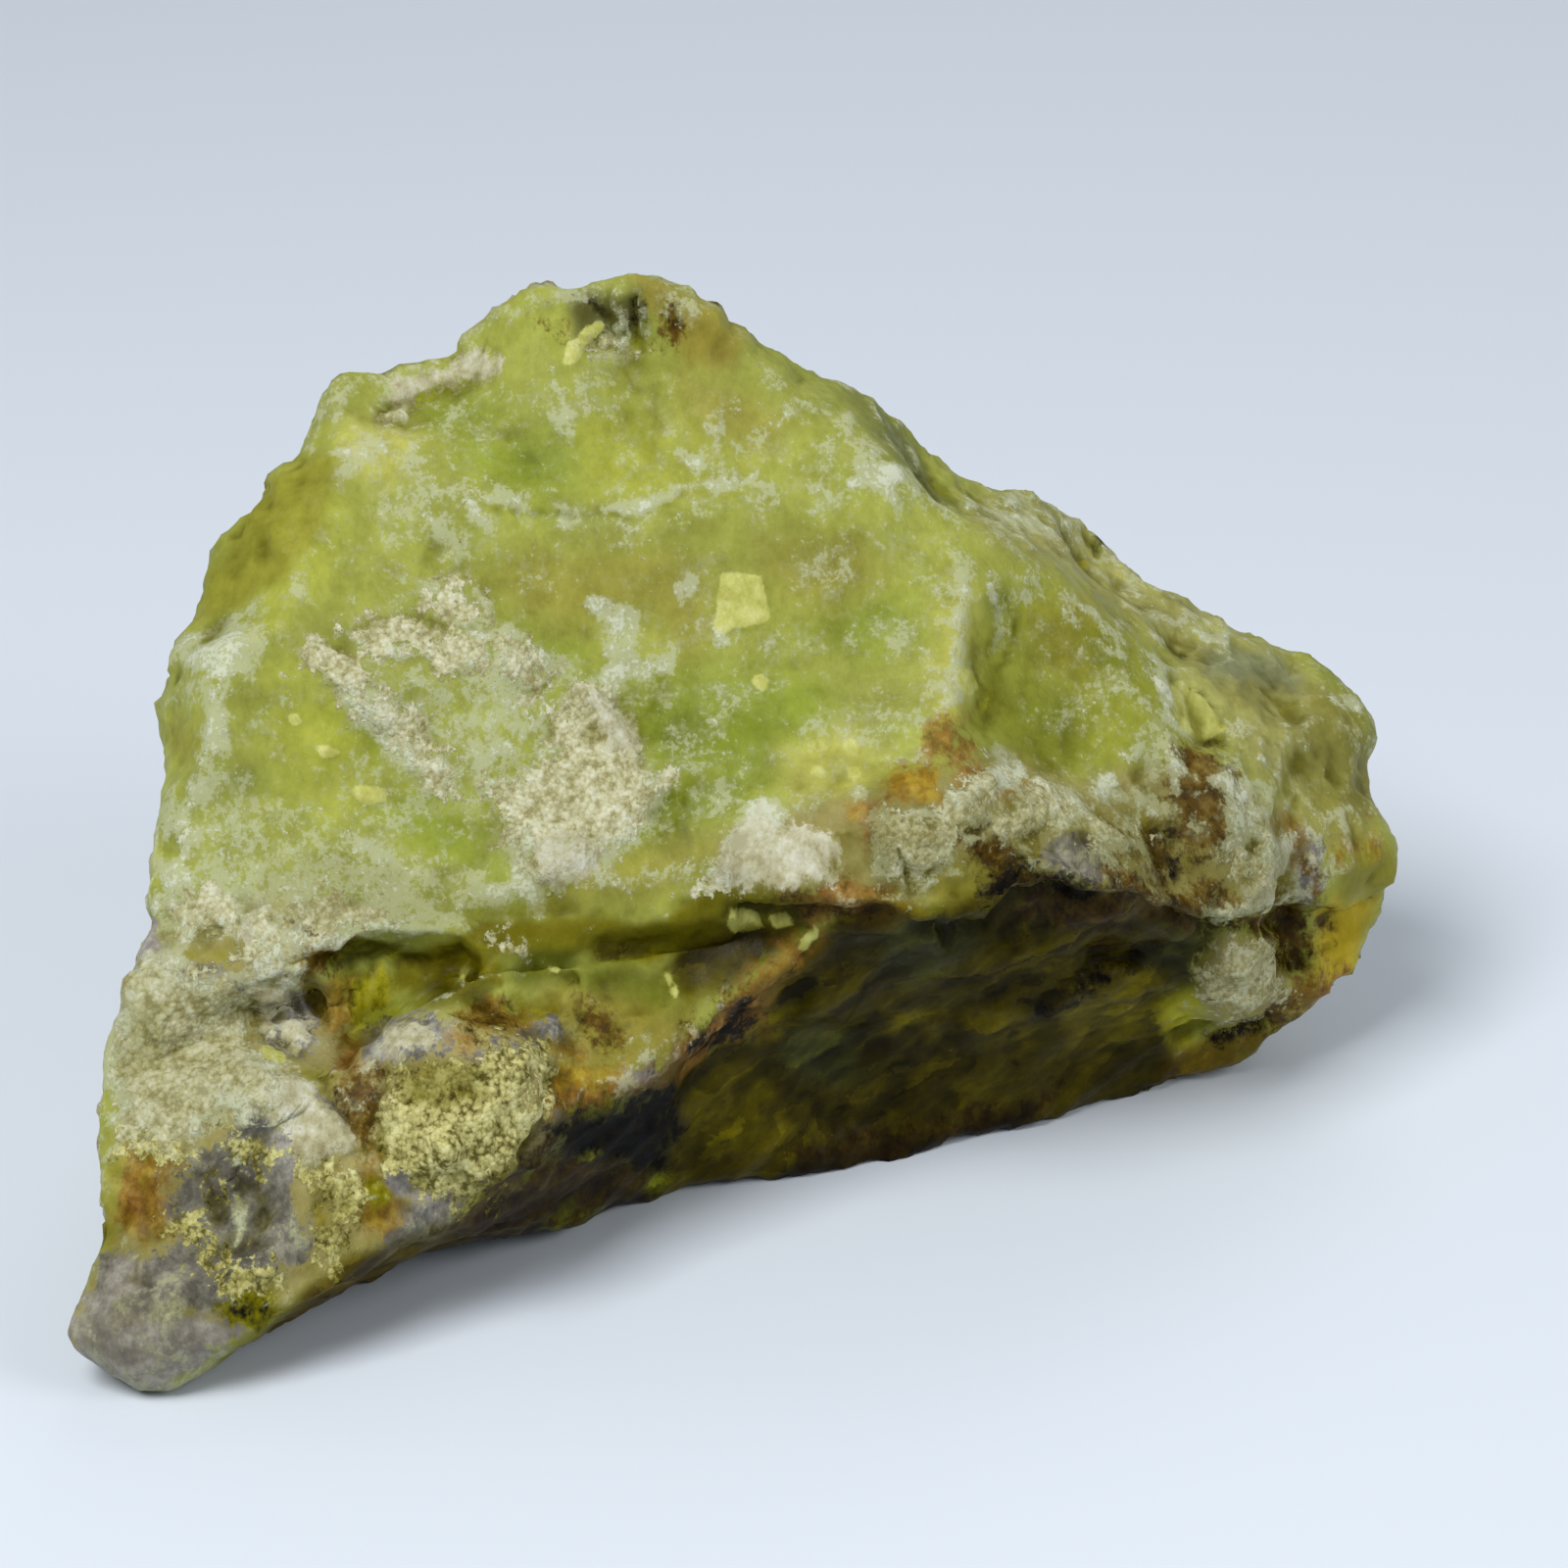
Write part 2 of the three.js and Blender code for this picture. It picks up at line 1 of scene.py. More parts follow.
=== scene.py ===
# The looks of a hand-sized piece of rough green opal: its broken faces, grain, crusts and stains.
# Blender works in metres here. Sizes below are in millimetres, and MM turns them into metres.
import math
import random

import bpy
import numpy as np
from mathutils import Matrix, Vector


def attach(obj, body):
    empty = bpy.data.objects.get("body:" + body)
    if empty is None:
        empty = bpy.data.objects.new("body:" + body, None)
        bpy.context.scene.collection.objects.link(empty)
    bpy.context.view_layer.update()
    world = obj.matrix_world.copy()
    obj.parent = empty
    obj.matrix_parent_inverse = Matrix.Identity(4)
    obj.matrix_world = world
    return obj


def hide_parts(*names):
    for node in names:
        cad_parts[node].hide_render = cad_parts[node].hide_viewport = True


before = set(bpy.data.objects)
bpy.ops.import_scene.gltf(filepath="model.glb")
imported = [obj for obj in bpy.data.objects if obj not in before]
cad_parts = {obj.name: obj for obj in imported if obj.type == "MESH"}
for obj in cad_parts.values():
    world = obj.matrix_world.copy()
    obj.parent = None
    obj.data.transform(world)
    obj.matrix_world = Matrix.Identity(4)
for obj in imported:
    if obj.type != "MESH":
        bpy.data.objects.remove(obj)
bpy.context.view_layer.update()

MM = 0.001

# The camera: how high it stands above the ground's plane, how far from the stone, and what it
# looks at. A square view of VIEW_SIDE pixels shows PIXEL millimetres in each of them there.
CAMERA_RISE = math.radians(27)
CAMERA_DISTANCE = 430
CAMERA_AIM = Vector((1.6, -0.5, 33))
TO_CAMERA = (0, -math.cos(CAMERA_RISE), math.sin(CAMERA_RISE))
VIEW_SIDE = 1600
PIXEL = 0.076
SENSOR = 36
NEAREST_SEEN = 10

# What stands round the stone. A lamp has its place, its width and its power.
FLOOR_SIDE = 6000
FLOOR_PAINT = (200, 207, 215)
SKY_PAINT = (214, 222, 232)
SKY_STRENGTH = 0.37
LAMPS = [((-280, -360, 640), 360, 6.2), ((480, -260, 380), 300, 1.6), ((140, 480, 480), 360, 0.7)]
LAMP_AIM = Vector((0, 0, 30))

# The mesh: how near points are merged, how often and how roundly it is divided, and how far each
# round of smoothing moves its points.
MERGE_GAP = 0.001
DIVISIONS = 2
ROUNDNESS = 0.4
SMOOTHING = 0.5
SMOOTH_ROUNDS = 1
# What is left out by this much smoothing stands out as a rim or a nick, or as a lump or a hollow.
RIM_ROUNDS = 6
LUMP_ROUNDS = 40
# Weights below this are left out of vertex groups, and nothing is divided by less than TINY.
LEAST_WEIGHT = 0.01
TINY = 1e-6

# Chance over the stone comes from a lattice with this many cells each way. Each use of it starts
# from a number of its own, or counts on from it.
CHANCE_CELLS = 24
WARP_SEED = 1
FINISH_SEED = 20
TINT_SEED = 50
UNEVEN_SEED = 70
CLOUD_SEED = 90
CHIP_SEED = 5

# Markings of the front are painted from outlines and lines in the camera's view, in pixels from
# its top left corner. Chance moves them over the stone: the size of its lumps and the distance.
WARP = [(8, 0.9), (3, 0.5), (1.2, 0.25)]
# A surface belongs to the front unless it is turned away from the camera by this much.
TURNED = (-0.45, -0.05)

# The colours below are as the stone looks in soft studio light. Its lit faces gain from that
# light, so the stone itself has this share of them.
STONE_SHARE = 0.72
OPAL = (158, 163, 72)
# How much one chip of the opal is lighter than the next, and one lump, and how large a lump is.
CHIP_TONE = 0.1
CLOUD_TONE = 0.16
CLOUD_SIZE = 3
# Tints lie over the back by chance: the size of their patches, how rare and how strong they are.
TINT_PATCH = 14
TINT_RARE = (0.2, 0.5)
TINT_BEHIND = 0.6
# Soft tints in the opal: a colour, how far it fades in millimetres, how strong it is, and where.
TINTS = [
    ((140, 153, 52), 2.5, 0.9, [  # leaf green in the broad face
        [(640, 700), (700, 690), (780, 680), (845, 700), (850, 740), (800, 790), (740, 800),
         (700, 785), (660, 770), (645, 735)],
        [(480, 440), (560, 430), (600, 450), (600, 490), (560, 515), (500, 500), (470, 470)],
        [(850, 600), (930, 605), (940, 650), (880, 672), (830, 640)],
        [(390, 830), (450, 800), (510, 850), (520, 900), (470, 880), (420, 860)],
        [(520, 640), (600, 650), (600, 690), (520, 690)],
    ]),
    ((124, 136, 35), 1.6, 0.9, [  # moss green in the broad face and by the shoulder
        [(432, 415), (470, 404), (508, 408), (520, 425), (480, 440), (440, 435)],
        [(665, 790), (720, 790), (770, 795), (740, 830), (700, 860), (660, 860)],
        [(650, 730), (700, 720), (760, 725), (790, 745), (740, 760), (680, 765)],
        [(300, 740), (330, 735), (380, 760), (400, 790), (360, 785), (320, 770)],
    ]),
    ((152, 146, 62), 2.0, 0.8, [  # olive across the broad face
        [(540, 560), (650, 558), (722, 572), (722, 650), (700, 668), (640, 640), (590, 640),
         (540, 620), (505, 595)],
        [(690, 380), (760, 400), (800, 440), (760, 480), (700, 450)],
        [(770, 545), (860, 540), (900, 580), (860, 620), (800, 600)],
        [(560, 890), (640, 868), (730, 850), (738, 885), (640, 915), (560, 925)],
    ]),
    ((170, 174, 66), 1.6, 0.8, [  # bright green by the left bevel and below the peak
        [(280, 720), (330, 735), (370, 765), (398, 792), (372, 822), (340, 830), (310, 815),
         (290, 780), (262, 760)],
        [(600, 430), (700, 430), (765, 470), (740, 510), (650, 515), (608, 500)],
        [(275, 530), (330, 505), (352, 540), (340, 590), (292, 622), (262, 660), (268, 620)],
        [(272, 690), (290, 682), (300, 702), (298, 716), (270, 716)],
    ]),
    ((190, 188, 92), 1.6, 0.8, [  # pale yellow: shoulder, fold and above the lip
        [(350, 430), (410, 425), (432, 446), (420, 480), (380, 502), (345, 470)],
        [(965, 585), (990, 600), (1000, 640), (990, 690), (1002, 725), (960, 735), (945, 700),
         (960, 660), (955, 620)],
        [(790, 760), (860, 745), (905, 770), (890, 802), (850, 832), (800, 812)],
        [(335, 445), (365, 430), (372, 455), (340, 475)],
    ]),
    ((142, 140, 46), 0.9, 0.9, [  # the left bevel
        [(314, 460), (341, 464), (330, 500), (323, 536), (290, 588), (265, 605), (234, 625),
         (200, 632), (196, 600), (215, 570), (245, 532), (258, 505), (282, 480)],
        [(180, 725), (200, 735), (208, 760), (198, 776), (180, 765), (168, 745)],
    ]),
    ((146, 150, 52), 2.0, 0.9, [  # the right face
        [(1010, 590), (1100, 600), (1190, 660), (1180, 760), (1150, 800), (1060, 790), (1020, 740),
         (1005, 680)],
    ]),
    ((146, 136, 44), 1.6, 0.6, [  # gold in the right face
        [(1058, 628), (1110, 618), (1138, 655), (1112, 692), (1070, 684)],
        [(1340, 720), (1372, 735), (1362, 770), (1336, 762)],
    ]),
    ((96, 102, 82), 0.5, 0.9, [  # a grey nick in the right face
        [(1218, 712), (1236, 706), (1250, 738), (1232, 734)],
    ]),
    ((116, 122, 34), 1.2, 0.7, [  # dark green in the right face
        [(1030, 700), (1060, 690), (1100, 720), (1110, 770), (1070, 780), (1035, 750)],
        [(1090, 640), (1130, 650), (1150, 690), (1110, 690)],
    ]),
    ((160, 156, 88), 1.6, 0.9, [  # the crest that falls to the right
        [(985, 500), (1050, 515), (1100, 530), (1140, 560), (1180, 600), (1240, 620), (1320, 680),
         (1400, 780), (1400, 850), (1340, 860), (1280, 780), (1190, 680), (1100, 600), (1000, 540)],
    ]),
    ((108, 112, 52), 1.0, 0.85, [  # dark notches of the crest
        [(850, 395), (900, 420), (940, 455), (960, 490), (985, 510), (950, 505), (905, 470)],
        [(1110, 540), (1130, 560), (1120, 575), (1105, 560)],
    ]),
    ((140, 144, 102), 0.8, 0.85, [  # grey-green at the crest's end
        [(1225, 664), (1280, 664), (1320, 686), (1318, 710), (1260, 704), (1225, 690)],
    ]),
    ((172, 172, 96), 0.4, 0.9, [  # pale flakes by the crest
        [(1190, 655), (1206, 636), (1245, 627), (1268, 640), (1240, 656)],
        [(1176, 702), (1198, 690), (1246, 716), (1252, 744), (1225, 757), (1195, 745)],
    ]),
    ((132, 128, 56), 1.2, 0.85, [  # the right edge
        [(1322, 690), (1370, 710), (1400, 780), (1402, 850), (1360, 860), (1320, 790)],
    ]),
    ((186, 172, 74), 0.8, 0.85, [  # yellow glass above the lip
        [(825, 838), (850, 826), (880, 835), (876, 862), (850, 875), (830, 864)],
    ]),
    ((146, 130, 50), 1.0, 0.8, [  # the peak's right side
        [(648, 285), (690, 292), (702, 310), (670, 325), (650, 315)],
        [(690, 295), (735, 320), (765, 345), (752, 372), (700, 376), (688, 340)],
    ]),
    ((88, 86, 44), 0.8, 0.9, [  # the peak's hollows
        [(590, 310), (650, 300), (655, 350), (615, 358), (595, 345)],
    ]),
    ((118, 112, 18), 0.5, 1.0, [  # the lip's lower side and the recess
        [(455, 962), (500, 945), (560, 938), (620, 936), (680, 928), (735, 906), (790, 905),
         (850, 912), (850, 935), (745, 940), (720, 962), (680, 975), (600, 975), (540, 972),
         (500, 985), (460, 980)],
        [(400, 972), (460, 975), (520, 985), (520, 1015), (440, 1022), (400, 1010)],
    ]),
    ((160, 152, 44), 0.8, 0.85, [  # painted light on the recess's left end
        [(438, 962), (480, 955), (505, 958), (500, 992), (450, 998)],
    ]),
    ((92, 86, 20), 0.8, 0.8, [  # painted shade: the recess's floor, in shadow
        [(436, 1008), (500, 1006), (504, 1030), (446, 1036)],
    ]),
    ((108, 112, 28), 1.0, 0.95, [  # green glass below the lip
        [(600, 985), (650, 975), (682, 990), (690, 1010), (680, 1040), (650, 1032), (605, 1015)],
        [(560, 965), (600, 970), (590, 1000), (540, 1010), (520, 990)],
    ]),
    ((136, 126, 48), 1.2, 0.9, [  # the slope below the lip
        [(560, 1010), (620, 1010), (700, 1030), (720, 1060), (640, 1100), (560, 1100), (540, 1050)],
    ]),
    ((164, 156, 88), 0.8, 0.8, [  # a pale spot on that slope
        [(556, 1040), (600, 1044), (604, 1082), (560, 1086)],
    ]),
    ((150, 140, 84), 1.2, 0.9, [  # the crust above the lip
        [(735, 850), (800, 830), (880, 810), (960, 780), (1040, 775), (1100, 800), (1180, 780),
         (1260, 790), (1330, 840), (1345, 900), (1300, 935), (1240, 935), (1100, 900),
         (1000, 880), (940, 925), (850, 915), (740, 905)],
    ]),
    ((166, 155, 100), 1.2, 0.92, [  # the tail, and the crust by the knob
        [(118, 930), (170, 960), (240, 925), (300, 930), (320, 1000), (350, 1045), (470, 1040),
         (560, 1055), (570, 1150), (480, 1240), (360, 1290), (280, 1340), (80, 1440), (60, 1350),
         (105, 1280), (118, 1100)],
        [(1225, 960), (1320, 960), (1325, 1030), (1240, 1045)],
    ]),
    ((122, 104, 58), 0.9, 0.9, [  # the tail's lower side: brown, partly painted shade
        [(240, 1385), (275, 1352), (330, 1304), (400, 1272), (470, 1246), (530, 1228), (560, 1260),
         (500, 1330), (300, 1420)],
    ]),
    ((100, 92, 2), 1.0, 1.0, [  # the undercut
        [(690, 1085), (760, 1040), (800, 990), (850, 945), (880, 930), (960, 930), (1000, 915),
         (1015, 885), (1045, 875), (1075, 895), (1120, 908), (1200, 925), (1252, 945),
         (1232, 990), (1190, 1010), (1200, 1080), (1250, 1120), (1180, 1140), (1020, 1200),
         (860, 1240), (700, 1250), (680, 1150)],
        [(680, 950), (760, 935), (840, 935), (800, 985), (750, 1010), (700, 1030), (690, 975)],
    ]),
    ((150, 140, 16), 0.8, 0.9, [  # brighter panels in the undercut
        [(715, 1100), (760, 1080), (800, 1120), (812, 1160), (800, 1185), (740, 1195),
         (690, 1200), (690, 1150)],
        [(1070, 1020), (1110, 992), (1160, 988), (1190, 1000), (1185, 1040), (1150, 1065),
         (1090, 1060)],
        [(760, 1030), (800, 1018), (832, 1020), (800, 1040), (765, 1048)],
        [(905, 1035), (950, 1033), (955, 1055), (915, 1060)],
        [(985, 1036), (1040, 1030), (1046, 1060), (995, 1064)],
    ]),
    ((190, 184, 32), 0.7, 0.9, [  # the brightest of them
        [(1180, 1030), (1200, 1008), (1225, 1008), (1232, 1026), (1205, 1042), (1185, 1047)],
        [(1190, 1052), (1214, 1048), (1215, 1066), (1192, 1068)],
    ]),
    ((150, 120, 28), 0.9, 0.8, [  # brown at the undercut's right end and the lip
        [(1195, 1070), (1250, 1045), (1290, 1045), (1300, 1060), (1240, 1100), (1190, 1100)],
        [(860, 905), (940, 930), (900, 945), (850, 930)],
    ]),
    ((112, 116, 84), 0.9, 0.9, [  # grey film in the undercut
        [(800, 1050), (830, 1040), (872, 1050), (876, 1090), (850, 1106), (815, 1100), (797, 1075)],
        [(1190, 945), (1240, 945), (1246, 960), (1220, 996), (1190, 1000), (1168, 975)],
        [(905, 950), (950, 935), (1000, 945), (996, 975), (960, 990), (915, 996), (898, 970)],
    ]),
    ((184, 160, 34), 0.9, 0.95, [  # the knob
        [(1345, 935), (1372, 905), (1400, 925), (1392, 960), (1390, 1000), (1350, 1022),
         (1320, 1030), (1345, 990)],
    ]),
    ((140, 134, 46), 0.9, 0.9, [  # the knob's top
        [(1370, 880), (1395, 862), (1420, 868), (1436, 886), (1420, 914), (1395, 927), (1375, 907)],
    ]),
    ((140, 132, 50), 1.4, 0.85, [  # the lip's fold
        [(940, 890), (985, 880), (1030, 870), (1060, 860), (1068, 880), (1040, 888), (1020, 898),
         (1005, 925), (960, 928)],
    ]),
    ((150, 146, 48), 0.8, 0.8, [  # the tail's green edges
        [(112, 1090), (124, 1110), (122, 1150), (124, 1200), (120, 1290), (103, 1300), (102, 1200),
         (108, 1150)],
        [(163, 958), (185, 965), (205, 975), (222, 965), (228, 945), (245, 920), (238, 950),
         (232, 975), (235, 990), (215, 985), (190, 985), (170, 985)],
        [(300, 1085), (340, 1085), (340, 1110), (310, 1110)],
    ]),
]

# How dark the surface is painted for its place: a factor, how far it fades, and where. This is
# mostly painted shade: the undercut below the lip, the hollows and the lower sides of the front
# are painted darker where shade falls, and a few patches are darker for the stone's own tone.
UNDERCUT = [
    [(694, 1092), (768, 1048), (810, 998), (856, 948), (880, 926), (960, 922), (1000, 908),
     (1015, 885), (1045, 875), (1075, 895), (1120, 908), (1200, 925), (1252, 945),
     (1232, 990), (1190, 1010), (1190, 1060), (1250, 1120), (1180, 1140), (1020, 1200),
     (860, 1240), (700, 1250), (640, 1250), (560, 1285), (480, 1300), (405, 1300), (460, 1245),
     (500, 1205), (560, 1152), (660, 1115)],
    [(700, 965), (740, 950), (828, 943), (800, 980), (760, 1006), (712, 998)],
    [(200, 1425), (262, 1356), (330, 1304), (400, 1272), (470, 1246), (530, 1228),
     (500, 1330), (300, 1420), (200, 1460)],
]
SHADES = [
    (0.8, 2.0, [  # painted shade on the tail's underside and the lip's crust; darker quartz
        [(160, 1180), (240, 1130), (300, 1200), (480, 1260), (300, 1320), (200, 1400), (120, 1440),
         (60, 1400), (80, 1300), (120, 1250)],
        [(900, 850), (1000, 800), (1120, 830), (1200, 780), (1290, 840), (1340, 900), (1300, 930),
         (1100, 910), (900, 920)],
        [(285, 1222), (330, 1222), (345, 1270), (312, 1300), (266, 1294)],
    ]),
    (0.9, 1.0, [  # the peak's darker grey, and painted shade on the lip's lower side
        [(596, 312), (650, 303), (658, 350), (612, 357)],
        [(470, 950), (560, 925), (640, 932), (705, 920), (738, 925), (760, 960), (700, 1000),
         (600, 975), (480, 985)],
    ]),
    # painted shade of the undercut, the darkest of the front
    (0.4, 1.0, UNDERCUT),
    (0.16, 1.3, [  # painted shadow: the undercut's black left end and foot
        [(560, 1148), (600, 1132), (660, 1108), (690, 1092), (724, 1104), (704, 1128),
         (736, 1150), (700, 1168), (718, 1192), (660, 1198), (620, 1185), (570, 1190)],
        [(680, 1196), (820, 1172), (960, 1148), (1080, 1104), (1060, 1160), (900, 1220),
         (700, 1260)],
    ]),
    (0.7, 0.8, [  # darker patches, partly painted shade: above the lip, in the tail, by the rubble
        [(886, 806), (912, 792), (926, 850), (908, 896), (886, 892)],
        [(120, 1310), (200, 1318), (250, 1336), (230, 1356), (150, 1352), (100, 1340)],
        [(116, 1030), (165, 1030), (170, 1095), (118, 1100)],
        [(312, 1195), (360, 1200), (358, 1250), (320, 1290), (310, 1240)],
        [(1086, 846), (1168, 842), (1176, 884), (1104, 896)],
        [(1095, 903), (1180, 905), (1260, 932), (1325, 936), (1325, 958), (1240, 960),
         (1150, 945), (1095, 930)],
        [(700, 955), (760, 940), (790, 950), (740, 975), (700, 975)],
    ]),
    (0.52, 1.0, [  # painted shade in hollows: in the rubble, by the knob
        [(406, 1094), (440, 1080), (500, 1090), (504, 1124), (452, 1130), (412, 1118)],
        [(1195, 1074), (1240, 1054), (1292, 1048), (1304, 1080), (1230, 1124)],
    ]),
    (0.26, 1.2, [  # painted shade at the undercut's foot
        [(476, 1244), (516, 1206), (570, 1188), (640, 1196), (690, 1205), (660, 1235),
         (560, 1262), (490, 1278)],
        [(700, 1190), (820, 1165), (960, 1140), (1080, 1098), (1100, 1110), (960, 1165),
         (820, 1200), (700, 1215)],
    ]),
    (0.85, 1.0, [  # partly painted shade: the knob's side, the tail's crust, the groove above it
        [(1290, 930), (1320, 918), (1340, 945), (1336, 990), (1318, 990), (1296, 960)],
        [(118, 985), (200, 990), (260, 1020), (280, 1100), (250, 1140), (200, 1150), (118, 1165)],
        [(1232, 960), (1318, 960), (1320, 1035), (1236, 1042)],
        [(182, 962), (250, 962), (248, 1000), (190, 998)],
        [(256, 884), (330, 872), (430, 898), (560, 905), (540, 932), (420, 950), (300, 955),
         (252, 930)],
    ]),
]

# Painted shade: out of the front's view, faces that look down as much as this are painted darker
# by this share.
DOWNWARD_FACING = (0.3, 0.8)
UNDERSIDE_SHADE = 0.45
# Painted shade in nicks and hollows: how much darker they are painted, and how deep they are for
# that, in millimetres.
NICK_SHADE = 0.35
NICK_DEPTH = (0.03, 0.2)
HOLLOW_SHADE = 0.2
HOLLOW_DEPTH = (0.15, 0.8)

# How much of chance's move the edge of a finish takes, and how much of what is under it it hides,
# where the finish doesn't say so itself.
LOOSE = 0.6
COVER = 1.0

